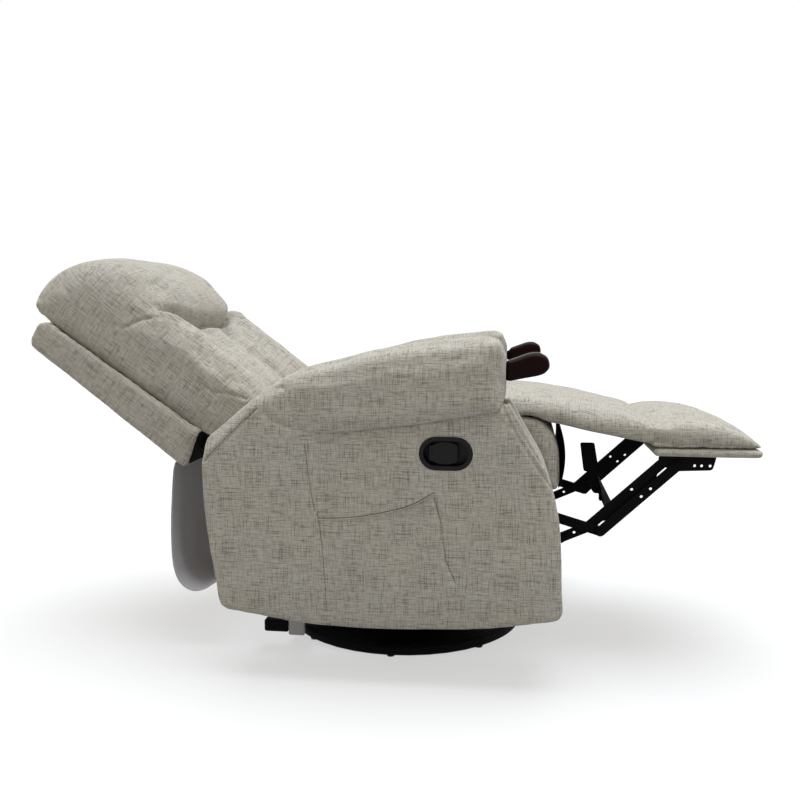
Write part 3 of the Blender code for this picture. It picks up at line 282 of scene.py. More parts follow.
def relax(obj, rounds):
    bm = bmesh.new()
    bm.from_mesh(obj.data)
    for _ in range(rounds):
        bmesh.ops.smooth_vert(bm, verts=bm.verts, factor=0.5, use_axis_x=True, use_axis_y=True, use_axis_z=True)
    bm.to_mesh(obj.data)
    bm.free()
    return obj


def carve(obj, tool):  # cuts one piece out of another
    knife = obj.modifiers.new("carve", "BOOLEAN")
    knife.operation = "DIFFERENCE"
    knife.solver = "EXACT"
    knife.object = tool
    settled(obj)
    bpy.data.objects.remove(tool, do_unlink=True)
    return obj


def places(obj):
    flat = np.empty(len(obj.data.vertices) * 3, np.float32)
    obj.data.vertices.foreach_get("co", flat)
    return flat.reshape(-1, 3).astype(float)


def facing(obj):
    flat = np.empty(len(obj.data.vertices) * 3, np.float32)
    obj.data.vertex_normals.foreach_get("vector", flat)
    return flat.reshape(-1, 3).astype(float)


def setPlaces(obj, co):
    obj.data.vertices.foreach_set("co", co.astype(np.float32).ravel())
    obj.data.update()
    return obj


def bend(a, b, c, d, t):  # a point between b and c on a smooth line through all four
    return 0.5 * (2 * b + (c - a) * t + (2 * a - 5 * b + 4 * c - d) * t ** 2 + (3 * b - a - 3 * c + d) * t ** 3)


def flowing(points, count=12):  # a smooth line through a few points
    ends = [points[0] * 2 - points[1]] + list(points) + [points[-1] * 2 - points[-2]]
    line = []
    for four in zip(ends, ends[1:], ends[2:], ends[3:]):
        line += [bend(*four, k / count) for k in range(count)]
    return line + [points[-1].copy()]


def ringLine(points, count=5):  # the same, closed
    total = len(points)
    line = []
    for i in range(total):
        four = [points[(i + k) % total] for k in (-1, 0, 1, 2)]
        line += [bend(*four, k / count) for k in range(count)]
    return line


def dense(line, step=0.002):
    close = []
    for a, b in zip(line, line[1:]):
        count = max(1, round((b - a).length / step))
        close += [a.lerp(b, k / count) for k in range(count)]
    return close + [line[-1]]


def nearest(co, spots):  # distance to the nearest of some spots, and which it is
    tree = KDTree(len(spots))
    for i, spot in enumerate(spots):
        tree.insert(spot, i)
    tree.balance()
    found = [tree.find(p) for p in co]
    return np.array([f[2] for f in found]), np.array([f[1] for f in found])


def surface(obj):
    bm = bmesh.new()
    bm.from_mesh(obj.data)
    tree = BVHTree.FromBMesh(bm)
    bm.free()
    return tree


def onto(obj, line, lift=0.0):  # a line laid on a piece's surface
    tree = surface(obj)
    laid = []
    for point in line:
        spot, normal, _, _ = tree.find_nearest(point)
        laid.append(spot + normal * lift)
    return laid


def seen(obj, pixels, count=10):  # a line laid on a piece where the picture shows it
    tree = surface(obj)
    eye = photoView.location
    line = flowing([Vector((px, py, 0)) for px, py in pixels], count)
    hits = [tree.ray_cast(eye, sight(p.x, p.y))[0] for p in line]
    return [hit for hit in hits if hit is not None]


def across(line):  # the same line on the other side of the chair
    return [Vector((p.x, -p.y, p.z)) for p in line]


def sew(obj, line, depth, width, pucker=0.0, pitch=0.022):
    # presses a seam into a piece, with small gathers beside it
    co = places(obj)
    away, along = nearest(co, dense(line))
    along = along * 0.002
    close = away < max(4 * width, 0.03)
    push = depth * np.exp(-(away / width) ** 2)
    if pucker:
        wave = np.sin(math.tau * along / pitch + 2.1 * np.sin(along * 37))
        push = push + pucker * wave * np.exp(-(away / (3.2 * width)) ** 2) * (1 - np.exp(-(away / width) ** 2))
    co[close] -= facing(obj)[close] * push[close, None]
    return setPlaces(obj, co)


def ripple(obj, high, size, seed=0.0):  # slack in the cover
    co = places(obj)
    soft = np.array([noise.noise(Vector(p) / size + Vector((seed, 0, 0))) for p in co])
    return setPlaces(obj, co + facing(obj) * (soft * high)[:, None])


def plump(name, points, half, rim, steps=5):
    # an outline drawn out across the width with both rims rounded in; y of a point says how much it draws in
    line = ringLine(points)
    total = len(line)
    turn = sum(a.x * b.z - b.x * a.z for a, b in zip(line, line[1:] + line[:1]))
    inward = []
    for i, point in enumerate(line):
        run = line[(i + 1) % total] - line[i - 1]
        inward.append(Vector((-run.z, 0, run.x)).normalized() * point.y * rim * math.copysign(1, turn))
    bm = bmesh.new()
    corner = bm.verts.layers.int.new("corner")
    loop = [bm.verts.new((p.x, rim - half, p.z)) for p in line]
    for i, vert in enumerate(loop):
        vert[corner] = i
    first = bm.faces.new(loop)
    made = bmesh.ops.extrude_face_region(bm, geom=[first])["geom"]
    last = [g for g in made if isinstance(g, bmesh.types.BMFace)][0]
    bmesh.ops.translate(bm, verts=last.verts[:], vec=(0, 2 * (half - rim), 0))
    for side, cap in ((-1, first), (1, last)):
        for k in range(steps):
            was = math.pi / 2 * k / steps
            now = math.pi / 2 * (k + 1) / steps
            made = bmesh.ops.extrude_face_region(bm, geom=[cap])["geom"]
            cap = [g for g in made if isinstance(g, bmesh.types.BMFace)][0]
            for vert in cap.verts:
                vert.co += inward[vert[corner]] * (math.cos(was) - math.cos(now))
                vert.co.y += side * rim * (math.sin(now) - math.sin(was))
    bmesh.ops.recalc_face_normals(bm, faces=bm.faces)
    return pieceFrom(name, bm)


def tube(name, line, radius, sides=8):
    curve = bpy.data.curves.new(name, "CURVE")
    curve.dimensions = "3D"
    curve.bevel_depth = radius
    curve.bevel_resolution = max(0, sides // 4 - 1)
    curve.use_fill_caps = True
    spline = curve.splines.new("POLY")
    spline.points.add(len(line) - 1)
    for point, spot in zip(spline.points, line):
        point.co = (*spot, 1)
    holder = bpy.data.objects.new(name + "Line", curve)
    scene.collection.objects.link(holder)
    graph = bpy.context.evaluated_depsgraph_get()
    mesh = bpy.data.meshes.new_from_object(holder.evaluated_get(graph))
    bpy.data.objects.remove(holder, do_unlink=True)
    obj = bpy.data.objects.new(name, mesh)
    scene.collection.objects.link(obj)
    return obj


swell = {"pressure": 4.0, "frames": 20, "quality": 4, "stiff": 12, "bend": 0.6}


def inflate(obj, loose, cap):
    # cloth under pressure: loose is 0 where the cover is sewn down and 1 where it is free
    start = places(obj)
    pins = obj.vertex_groups.new(name="sewn")
    held = np.clip(1 - loose, 0, 1)
    for level in range(1, 11):
        chosen = np.nonzero(np.round(held * 10) == level)[0]
        if len(chosen):
            pins.add(chosen.tolist(), level / 10, "REPLACE")
    cloth = obj.modifiers.new("swell", "CLOTH")
    setup = cloth.settings
    setup.quality = swell["quality"]
    setup.tension_stiffness = swell["stiff"]
    setup.compression_stiffness = swell["stiff"]
    setup.bending_stiffness = swell["bend"]
    setup.use_pressure = True
    setup.uniform_pressure_force = swell["pressure"]
    setup.effector_weights.gravity = 0
    setup.vertex_group_mass = "sewn"
    cloth.collision_settings.use_collision = False
    cloth.point_cache.frame_start = 1
    cloth.point_cache.frame_end = swell["frames"]
    for number in range(1, swell["frames"] + 1):
        scene.frame_set(number)
    graph = bpy.context.evaluated_depsgraph_get()
    flat = np.empty(len(start) * 3, np.float32)
    obj.evaluated_get(graph).data.vertices.foreach_get("co", flat)
    moved = flat.reshape(-1, 3) - start
    reach = np.linalg.norm(moved, axis=1)
    obj.modifiers.clear()
    obj.vertex_groups.clear()
    scene.frame_set(1)
    setPlaces(obj, start + moved * np.minimum(1, cap / np.maximum(reach, 1e-9))[:, None])
    print("swelled", obj.name, len(start), "points, furthest", round(float(reach.max()) * 1000, 1), "mm")
    return obj


def outlineOf(obj):  # the longest loop where the middle of the width cuts the piece
    bm = bmesh.new()
    bm.from_mesh(obj.data)
    middle = sum((v.co for v in bm.verts), Vector()) / len(bm.verts)
    bmesh.ops.bisect_plane(bm, geom=bm.verts[:] + bm.edges[:] + bm.faces[:], plane_co=middle, plane_no=(0, 1, 0),
                           clear_inner=True, clear_outer=True)
    left = dict.fromkeys(bm.verts)  # kept in order, so that each run walks the same way
    best = []
    while left:
        walk = [next(iter(left))]
        del left[walk[0]]
        while True:
            ahead = [e.other_vert(walk[-1]) for e in walk[-1].link_edges]
            ahead = [v for v in ahead if v in left]
            if not ahead:
                break
            walk.append(ahead[0])
            del left[ahead[0]]
        if len(walk) > len(best):
            best = walk
    line = [Vector((v.co.x, 0, v.co.z)) for v in best]
    lowest = min(range(len(line)), key=lambda i: line[i].z)
    line = line[lowest:] + line[:lowest]  # the cloth starts and ends underneath
    bm.free()
    return line


def layCloth(obj, turn=0.0, shift=(0.0, 0.0)):
    # weave map in metres: flat on the sides, wrapped round the outline elsewhere
    mesh = obj.data
    co = places(obj)
    line = outlineOf(obj)
    line.append(line[0])
    close = dense(line, 0.004)
    ahead = np.array([(close[(i + 1) % len(close)] - close[i - 1]).normalized()[:] for i in range(len(close))])
    runs = np.concatenate([[0], np.cumsum([(b - a).length for a, b in zip(close, close[1:])])])
    flatCo = co * np.array([1, 0, 1])
    hits = nearest(flatCo, close)[1]
    spots = np.array([point[:] for point in close])
    wrap = runs[hits] + ((flatCo - spots[hits]) * ahead[hits]).sum(1)
    corner = np.empty(len(mesh.loops), np.int32)
    mesh.loops.foreach_get("vertex_index", corner)
    starts = np.empty(len(mesh.polygons), np.int32)
    totals = np.empty(len(mesh.polygons), np.int32)
    mesh.polygons.foreach_get("loop_start", starts)
    mesh.polygons.foreach_get("loop_total", totals)
    normals = np.empty(len(mesh.polygons) * 3, np.float32)
    mesh.polygons.foreach_get("normal", normals)
    sideways = np.abs(normals.reshape(-1, 3)[:, 1]) > 0.70
    owner = np.repeat(np.arange(len(starts)), totals)
    order = np.argsort(np.repeat(starts, totals), kind="stable")
    owner = owner[order]
    c, s = math.cos(turn), math.sin(turn)
    run = wrap[corner]
    highest = np.maximum.reduceat(run, starts)
    lowest = np.minimum.reduceat(run, starts)
    broken = (highest - lowest > runs[-1] / 2)[owner] & (run < runs[-1] / 2)
    run = run + broken * runs[-1]
    x = co[corner, 0]
    z = co[corner, 2]
    onSide = sideways[owner]
    u = np.where(onSide, c * x + s * z, run)
    v = np.where(onSide, c * z - s * x, co[corner, 1] + 3)
    layer = mesh.uv_layers.get("weave") or mesh.uv_layers.new(name="weave")
    layer.data.foreach_set("uv", np.stack([u + shift[0], v + shift[1]], 1).astype(np.float32).ravel())
    return obj


def dress(obj, *names):  # finishes, and smooth faces
    obj.data.materials.clear()
    for name in names:
        obj.data.materials.append(finishes[name])
    obj.data.polygons.foreach_set("use_smooth", [True] * len(obj.data.polygons))
    obj.data.update()
    return obj


def wear(obj, finish, body, slot, stands=(), fill=None):
    # finish, body and the nodes that a piece stands for
    dress(obj, finish)
    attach(obj, body)
    if stands:
        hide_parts(*stands)
    return obj


def mirrored(obj, name):
    bm = bmesh.new()
    bm.from_mesh(obj.data)
    bmesh.ops.scale(bm, vec=(1, -1, 1), verts=bm.verts)
    bmesh.ops.reverse_faces(bm, faces=bm.faces)
    return pieceFrom(name, bm)


def stitches(name, carrier, lines, body, pitch=0.0056, length=0.0044, radius=0.0006):
    # short threads laid along lines on a piece
    bm = bmesh.new()
    for line in lines:
        laid = onto(carrier, dense(line, pitch), radius * 0.6)
        for a, b in zip(laid, laid[1:]):
            if (b - a).length < 0.3 * pitch:
                continue
            turn = (b - a).to_track_quat("Z", "Y").to_matrix().to_4x4()
            bmesh.ops.create_uvsphere(bm, u_segments=5, v_segments=4, radius=1.0,
                                      matrix=Matrix.Translation((a + b) / 2) @ turn
                                      @ Matrix.Diagonal((radius, radius, length / 2, 1)))
    return wear(pieceFrom(name, bm), "thread", body, "upholstery_fabric")


# Back pillow: one cover over the back cushion and the headrest, with three rolls and a deep tuck under the head
back = {"slope": math.radians(36.87), "half": 0.258, "rim": 0.054, "voxel": 0.0056, "cap": 0.008,
        "outline": [(0.020, 0.1, 0.048), (0.075, 0.0, 0.016), (0.160, -0.18, -0.0170), (0.300, -0.20, -0.0235),
                    (0.450, -0.20, -0.0295), (0.590, -0.15, -0.0350), (0.634, 0.10, -0.0355), (0.652, 0.6, -0.018),
                    (0.656, 0.8, 0.012), (0.646, 1, 0.048), (0.619, 1, 0.092), (0.583, 1, 0.125), (0.538, 1, 0.144),
                    (0.488, 1, 0.148), (0.436, 1, 0.143), (0.392, 1, 0.137), (0.350, 0.9, 0.136),
                    (0.283, 0.9, 0.136), (0.200, 0.8, 0.136), (0.140, 0.7, 0.133), (0.090, 0.6, 0.125),
                    (0.040, 0.4, 0.110), (0.010, 0.3, 0.092), (0.008, 0.2, 0.070)],
        "dome": 0.022, "domeWide": 0.24,
        "lip": (0.011, 0.022), "lipAt": 0.222, "lipWide": 0.030,
        "groove": 0.088, "grooveDeep": 0.040, "grooveWide": 0.016, "crest": 0.238, "rollCurve": 1.5,
        "middle": 0.018, "middleCurve": 2.6,
        "tuckDeep": 0.027, "tuckEnds": 0.010, "tuckMid": 0.360, "tuckRise": 0.050,
        "shoulder": [(125, 327), (134, 322.5), (143, 319), (150, 318)],
        "crease": [(155.5, 304), (161, 313.5), (161, 319)],
        "pleat": [(199, 380), (206, 386.5), (213.4, 391.7), (227, 393), (246, 398.5)],
        "fold": [(213, 393), (209, 402), (205, 414)]}
backPivot = Vector(joints["recline"]["pos_m"])
upBack = Vector((-math.cos(back["slope"]), 0, math.sin(back["slope"])))
outBack = Vector((math.sin(back["slope"]), 0, math.cos(back["slope"])))


def onBack(u, y, w):
    return backPivot + upBack * u + outBack * w + Vector((0, y, 0))


def tuckAt(y):  # how far up the back the tuck lies: lowest in the middle
    return back["tuckMid"] + back["tuckRise"] * (y / 0.23) ** 4


def eased(value, low, high):  # 0 below low, 1 above high, smooth between
    part = np.clip((value - low) / (high - low), 0, 1)
    return part * part * (3 - 2 * part)


backPillow = plump("backPillow", [onBack(*point) for point in back["outline"]], back["half"], back["rim"])
relax(skin(backPillow, back["voxel"]), 3)
co = places(backPillow)
u = (co - np.array(backPivot)) @ np.array(upBack)
y = np.abs(co[:, 1])
front = np.clip((facing(backPillow) @ np.array(outBack) + 0.15) / 0.6, 0, 1)
tuckLine = tuckAt(y)
below = np.sin(math.pi / 2 * np.clip((tuckLine - u) / 0.035, 0, 1))
above = np.sin(math.pi / 2 * np.clip((u - tuckLine) / 0.034, 0, 1))
lower = np.clip((u + 0.01) / 0.08, 0, 1)
middle = back["middle"] + (back["grooveDeep"] - back["middle"]) * (y / back["groove"]) ** back["middleCurve"]
inward = np.clip((back["crest"] - y) / (back["crest"] - back["groove"]), 0, 1)
sides = back["grooveDeep"] * inward ** back["rollCurve"]
rolls = np.where(y < back["groove"], middle, sides) * below * lower
tuck = np.exp(-((u - tuckLine) / np.where(u > tuckLine, 0.010, 0.011)) ** 2) * (1 - 0.9 * eased(y, 0.18, 0.245))
crown = np.clip(1 - (y / back["domeWide"]) ** 4, -0.3, 1) * above
lip = np.where(co[:, 1] < 0, *back["lip"])  # the outer edges of the rolls, right and left
lip = lip * np.exp(-((y - back["lipAt"]) / back["lipWide"]) ** 2) * below * lower
shape = back["dome"] * crown + lip - rolls - tuck * (back["tuckDeep"] + back["tuckEnds"] * (y / 0.2) ** 2)
setPlaces(backPillow, co + np.array(outBack) * (shape * front)[:, None])
relax(backPillow, 1)
grooves = np.exp(-((y - back["groove"]) / back["grooveWide"]) ** 2) * below * lower
sewnDown = np.maximum(tuck, grooves) * front
rests = np.clip(-(facing(backPillow) @ np.array(outBack)) * 2.2, 0, 1)
inflate(backPillow, 1 - np.clip(sewnDown * 1.5 + rests, 0, 1), back["cap"])
relax(backPillow, 1)
finer(backPillow)
smile = [onBack(tuckAt(s), s, 0.106) for s in np.linspace(-0.20, 0.20, 60)]
sew(backPillow, onto(backPillow, smile), 0.006, 0.0042)
for side in (-1, 1):
    groove = [onBack(s, side * back["groove"], 0.110) for s in np.linspace(0.05, 0.34, 40)]
    sew(backPillow, onto(backPillow, groove), 0.0075, 0.0040, 0.0008)
for name, depth, width in (("shoulder", 0.005, 0.0042), ("crease", 0.003, 0.0040), ("pleat", 0.0045, 0.0034),
                           ("fold", 0.0025, 0.0040)):
    line = seen(backPillow, back[name])
    sew(backPillow, line, depth, width, 0.0010)
    sew(backPillow, onto(backPillow, across(line)), depth, width, 0.0010)
ripple(backPillow, 0.0020, 0.055, 3.0)
layCloth(backPillow, -back["slope"], (0.3, 0.1))
wear(backPillow, "linen", "backrest", "upholstery_fabric", ("back_cushion", "headrest"), 0.7)
print("back pillow made")


# Seat and chaise, one cushion that bends at the front edge of the seat
seat = {"half": 0.256, "rim": 0.024, "voxel": 0.0058, "cap": 0.011, "crown": 0.007,
        "outline": [(-0.138, 0.4, 0.424), (-0.100, 0.4, 0.4225), (0.080, 0.4, 0.4225), (0.200, 0.4, 0.4225),
                    (0.256, 0.4, 0.426), (0.263, 0.4, 0.470), (0.266, 0.4, 0.519), (0.300, 0.4, 0.521),
                    (0.330, 0.4, 0.511), (0.360, 0.4, 0.505), (0.420, 0.4, 0.491), (0.480, 0.3, 0.480),
                    (0.528, 0.1, 0.4715), (0.5450, 0.05, 0.4690), (0.5475, 0.05, 0.487), (0.5455, 0.1, 0.5060),
                    (0.528, 0.4, 0.5130), (0.500, 0.8, 0.5205), (0.455, 1, 0.529), (0.400, 1, 0.540),
                    (0.340, 1, 0.552), (0.277, 1, 0.557), (0.180, 1, 0.545), (0.090, 1, 0.523), (0.000, 0.9, 0.503),
                    (-0.100, 0.6, 0.490), (-0.136, 0.4, 0.476)]}
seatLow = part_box("seat_cushion")[0].z
seatPad = plump("seatPad", [at(x, draw, max(z, seatLow + 0.002)) for x, draw, z in seat["outline"]], seat["half"],
                seat["rim"])
relax(skin(seatPad, seat["voxel"]), 3)
co = places(seatPad)
up = np.clip(facing(seatPad)[:, 2] * 1.4, 0, 1)
co[:, 2] += seat["crown"] * up * (1 - (co[:, 1] / seat["half"]) ** 2)
setPlaces(seatPad, co)
blunt = eased(co[:, 0] - ringX, 0.515, 0.538)
inflate(seatPad, np.clip(facing(seatPad)[:, 2] * 3 + 0.9, 0, 1) * (1 - blunt), seat["cap"])
relax(seatPad, 1)
finer(seatPad)
ripple(seatPad, 0.0024, 0.060, 1.0)
layCloth(seatPad, 0.0, (0.7, 0.2))
dress(seatPad, "linen")
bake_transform(seatPad)
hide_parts("seat_cushion", "chaise_pad")
print("seat made")


# Padded pieces that start from their solids
def padFrom(name, node, body, voxel, cap, fill, slack=0.0016, rounds=2, levels=1, shift=(0.0, 0.0), seams=()):
    pad = relax(skin(pieceFrom(name, cadCopy(node)), voxel), rounds)
    if cap:
        inflate(pad, np.clip(facing(pad)[:, 2] * 3 + 1, 0, 1), cap)
        relax(pad, 1)
    if levels:
        finer(pad, levels)
    for line, depth, width, pucker in seams:
        sew(pad, onto(pad, line), depth, width, pucker)
    ripple(pad, slack, 0.06, shift[0] * 7)
    layCloth(pad, 0.0, shift)
    return wear(pad, "linen", body, "upholstery_fabric", (node,), fill)


foot = {"half": 0.257, "rim": 0.020, "voxel": 0.0056, "cap": 0.010, "crown": 0.006,
        "outline": [(0.543, 0.05, 0.4630), (0.600, 0.15, 0.4630), (0.700, 0.15, 0.4630), (0.752, 0.2, 0.4625),
                    (0.758, 0.4, 0.4665), (0.750, 0.7, 0.4770), (0.730, 1, 0.4890), (0.697, 1, 0.5015),
                    (0.650, 1, 0.5105), (0.605, 0.8, 0.5115), (0.572, 0.4, 0.5080), (0.5500, 0.1, 0.5050),
                    (0.5420, 0.05, 0.5010), (0.5410, 0.05, 0.4800)],
        "hem": [(0.546, 0.476), (0.590, 0.4725), (0.632, 0.469), (0.741, 0.461)]}
footPad = plump("footPad", [at(*point) for point in foot["outline"]], foot["half"], foot["rim"])
relax(skin(footPad, foot["voxel"]), 3)
co = places(footPad)
co[:, 2] += foot["crown"] * np.clip(facing(footPad)[:, 2] * 1.4, 0, 1) * (1 - (co[:, 1] / foot["half"]) ** 2)
setPlaces(footPad, co)
blunt = 1 - eased(co[:, 0] - ringX, 0.545, 0.568)
inflate(footPad, np.clip(facing(footPad)[:, 2] * 3 + 1, 0, 1) * (1 - blunt), foot["cap"])
relax(footPad, 1)
finer(footPad)
for side in (-1, 1):
    hem = flowing([at(x, side * foot["half"], z) for x, z in foot["hem"]])
    sew(footPad, onto(footPad, hem), 0.0035, 0.004, 0.0008)
ripple(footPad, 0.0020, 0.06, 13)
layCloth(footPad, 0.0, (1.9, 0.6))
wear(footPad, "linen", "footrest", "upholstery_fabric", ("footrest_pad",), 0.7)
board = padFrom("footBoard", "footrest_board", "footrest", 0.0052, 0, 0.9, 0.0005, 1, 0, (2.3, 0.3))
co = places(board)
co[:, 0] += 0.006 * eased(co[:, 0] - ringX, 0.68, 0.75) - 0.002 * (1 - eased(co[:, 0] - ringX, 0.545, 0.60))
setPlaces(board, co)
padFrom("seatFront", "seat_front_box", "seat", 0.0055, 0.003, 0.85, 0.0012, 2, 0, (2.9, 0.1))
print("footrest pads made")


# Back shell, a padded board behind the pillow
rearBoard = {"voxel": 0.0055, "rise": 0.010, "end": (0.1505, 0, -0.096), "endPast": 0.0055}
shell = relax(skin(pieceFrom("backShell", cadCopy("back_shell")), rearBoard["voxel"]), 2)
co = places(shell)
u = (co - np.array(backPivot)) @ np.array(upBack)
setPlaces(shell, co + np.array(upBack) * (rearBoard["rise"] * eased(u, 0.48, 0.57))[:, None])
ripple(shell, 0.0012, 0.07, 9)
layCloth(shell, -back["slope"], (3.4, 0.5))
wear(shell, "linen", "backrest", "upholstery_fabric", ("back_shell",), 0.85)
# second slot: black lining, used below as painted shade on the shell's lower end
shell.data.materials.append(finishes["lining"])
endOut = (upBack * -0.9584 + outBack * 0.2856).normalized()
endSpot = onBack(*rearBoard["end"]) + endOut * rearBoard["endPast"]
bm = bmesh.new()
bm.from_mesh(shell.data)
bmesh.ops.bisect_plane(bm, geom=bm.verts[:] + bm.edges[:] + bm.faces[:], plane_co=endSpot, plane_no=endOut)
for face in bm.faces:  # the lower end face gets the black lining: painted shade for the dark gap between the shell and the side panels
    face.material_index = int((face.calc_center_median() - endSpot).dot(endOut) > 0)
bm.to_mesh(shell.data)
bm.free()
print("back shell made")


# Arm pillows, the left one a mirror of the right
arm = {"half": 0.083, "rim": 0.024, "voxel": 0.0054, "cap": 0.005, "taper": 0.25,
       "outline": [(0.234, 0.2, 0.551), (0.2370, 0.5, 0.570), (0.2380, 0.8, 0.640), (0.2375, 1, 0.677),
                   (0.230, 1, 0.6865), (0.203, 1, 0.6865), (0.151, 1, 0.6820), (0.078, 1, 0.6740), (-0.008, 1, 0.6610),
                   (-0.084, 1, 0.6420), (-0.161, 1, 0.6220), (-0.205, 1, 0.6040), (-0.236, 0.8, 0.5810),
                   (-0.239, 0.5, 0.5630), (-0.223, 0.3, 0.5370), (-0.160, 0.3, 0.5050), (-0.053, 0.35, 0.5080),
                   (0.121, 0.35, 0.5300), (0.200, 0.3, 0.5460)]}
low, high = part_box("arm_pillow_right")
armMid = (low.y + high.y) / 2
pillow = plump("armPillowRight", [at(*point) for point in arm["outline"]], arm["half"], arm["rim"])
relax(skin(pillow, arm["voxel"]), 3)
co = places(pillow)
co[:, 1] += armMid
setPlaces(pillow, co)
normals = facing(pillow)
under = np.clip(-normals[:, 2] * 2.2, 0, 1)
hidden = np.clip(normals[:, 1] * 1.6 - 0.4, 0, 1) * np.clip((0.60 - co[:, 2]) / 0.03, 0, 1)
inflate(pillow, 1 - np.maximum(under, hidden), arm["cap"])
relax(pillow, 1)
finer(pillow)
co = places(pillow)
rear = eased(ringX - co[:, 0], 0.09, 0.215) * (co[:, 1] < armMid)
co[:, 1] = armMid + (co[:, 1] - armMid) * (1 - arm["taper"] * rear)
setPlaces(pillow, co)
ripple(pillow, 0.0018, 0.06, 5)
pillowLeft = mirrored(pillow, "armPillowLeft")
co = places(pillowLeft)
co[:, 0] -= 0.008 * eased(co[:, 0] - ringX, 0.14, 0.24)
setPlaces(pillowLeft, co)
layCloth(pillow, 0, (4.1, 0.2))
layCloth(pillowLeft, 0, (4.9, 0.7))
wear(pillow, "linen", "chassis", "upholstery_fabric", ("arm_pillow_right",), 0.75)
wear(pillowLeft, "linen", "chassis", "upholstery_fabric", ("arm_pillow_left",), 0.75)
print("arm pillows made")


# Side panels, padded boards with bands along their edges, and a pocket and a lever in the right one
panel = {"voxel": 0.0060, "puff": 0.004, "reach": 0.040, "rear": 0.009, "front": 0.003,
         "bevel": 0.015, "bevelWide": 0.021,
         "drop": [(-0.35, 0.006), (0.0, 0.006), (0.35, 0.013)],
         "wingEdge": [(-0.3605, 0.462), (-0.352, 0.476), (-0.299, 0.528), (-0.247, 0.573), (-0.205, 0.597)],
         "wedge": [(-0.270, 0.540), (-0.248, 0.571), (-0.226, 0.586), (-0.204, 0.594), (-0.184, 0.589), (-0.165, 0.560),
                   (-0.158, 0.500), (-0.210, 0.500)],
         "wing": [(203, 461), (217, 446), (232, 431), (246, 417), (256, 407)],
         "band": [(504, 408), (512, 425), (525, 448), (537, 467), (550, 485), (557, 495)],
         "bandRow": [(506, 402), (521, 431), (532, 449), (543, 465)],
         "armCrease": [(265, 413), (271, 419), (280, 423.5), (293, 427)],
         "rearSeam": [(-0.144, 0.478), (-0.137, 0.418), (-0.127, 0.358), (-0.120, 0.343), (-0.112, 0.287),
                      (-0.107, 0.219), (-0.104, 0.150)],
         "frontSeam": [(0.109, 0.384), (0.122, 0.335), (0.132, 0.266), (0.151, 0.218)],
         "pocket": [(-0.1198, 0.337), (-0.0563, 0.341), (0.0029, 0.351), (0.0621, 0.368), (0.1101, 0.395)],
         "slit": 0.0009, "leverX": 0.131, "leverZ": 0.470, "leverStraight": 0.0195, "leverHigh": 0.0295}
low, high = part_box("side_panel_left")
panelIn = low.y
panelOut = high.y


def solidPanel(name):  # the panel without its hollow, closed below
    bm = cadCopy("side_panel_left")
    hollow = [f for f in bm.faces if panelIn + 0.020 < min(v.co.y for v in f.verts)
              and max(v.co.y for v in f.verts) < panelOut - 0.020
              and low.x + 0.012 < f.calc_center_median().x < high.x - 0.012
              and 0.11 < f.calc_center_median().z < 0.51]
    bmesh.ops.delete(bm, geom=hollow, context="FACES")
    bmesh.ops.holes_fill(bm, edges=[e for e in bm.edges if e.is_boundary], sides=0)
    tip = bm.faces.new([bm.verts.new(at(x, panelIn, z)) for x, z in panel["wedge"]])  # the wing runs up into the pillow
    made = bmesh.ops.extrude_face_region(bm, geom=[tip])["geom"]
    moved = [g for g in made if isinstance(g, bmesh.types.BMVert)]
    bmesh.ops.translate(bm, verts=moved, vec=(0, panelOut - panelIn, 0))
    bmesh.ops.recalc_face_normals(bm, faces=bm.faces)
    return pieceFrom(name, bm)


sidePanel = relax(skin(solidPanel("sidePanelLeft"), panel["voxel"]), 1)
co = places(sidePanel)
normals = facing(sidePanel)
fromRim = nearest(co, co[np.abs(normals[:, 1]) < 0.55])[0]
outside = np.clip(normals[:, 1] * 2 - 0.6, 0, 1)
co[:, 1] += panel["puff"] * outside * (1 - np.exp(-(fromRim / panel["reach"]) ** 2))
x = co[:, 0] - ringX
drop = np.interp(x, *zip(*panel["drop"]))
co[:, 2] -= drop * (1 - eased(co[:, 2], 0.13, 0.24))
rearward = panel["rear"] * eased(-x, 0.22, 0.34) * (1 - eased(co[:, 2], 0.43, 0.51))
co[:, 0] += panel["front"] * eased(x, 0.26, 0.34) - rearward
edge = dense(flowing([at(px, 0, pz) for px, pz in panel["wingEdge"]]))
fromEdge = nearest(co * np.array([1, 0, 1]), edge)[0]
bevel = np.clip(1 - fromEdge / panel["bevelWide"], 0, 1) * (co[:, 1] > panelIn + 0.08)
co[:, 1] -= panel["bevel"] * bevel
setPlaces(sidePanel, co)
finer(sidePanel)
ripple(sidePanel, 0.0014, 0.075, 11)
sideRight = mirrored(sidePanel, "sidePanelRight")
wingSeam = seen(sideRight, panel["wing"])
bandSeam = seen(sideRight, panel["band"])
bandRow = seen(sideRight, panel["bandRow"])
for line in (wingSeam, bandSeam, bandRow):
    sew(sideRight, line, 0.0042, 0.0034, 0.0005)
    sew(sidePanel, onto(sidePanel, across(line)), 0.0042, 0.0034, 0.0005)
armCrease = seen(sideRight, panel["armCrease"])  # the pillow's lower seam runs on into the wing
sew(sideRight, armCrease, 0.0045, 0.0055)
sew(sidePanel, onto(sidePanel, across(armCrease)), 0.0045, 0.0055)
downSeams = []
for name in ("rearSeam", "frontSeam"):
    downSeams.append(onto(sideRight, flowing([at(x, -panelOut, z) for x, z in panel[name]])))
    sew(sideRight, downSeams[-1], 0.0020, 0.0032, 0.0005)
slitLine = flowing([at(x, -panelOut, z) for x, z in panel["pocket"]])

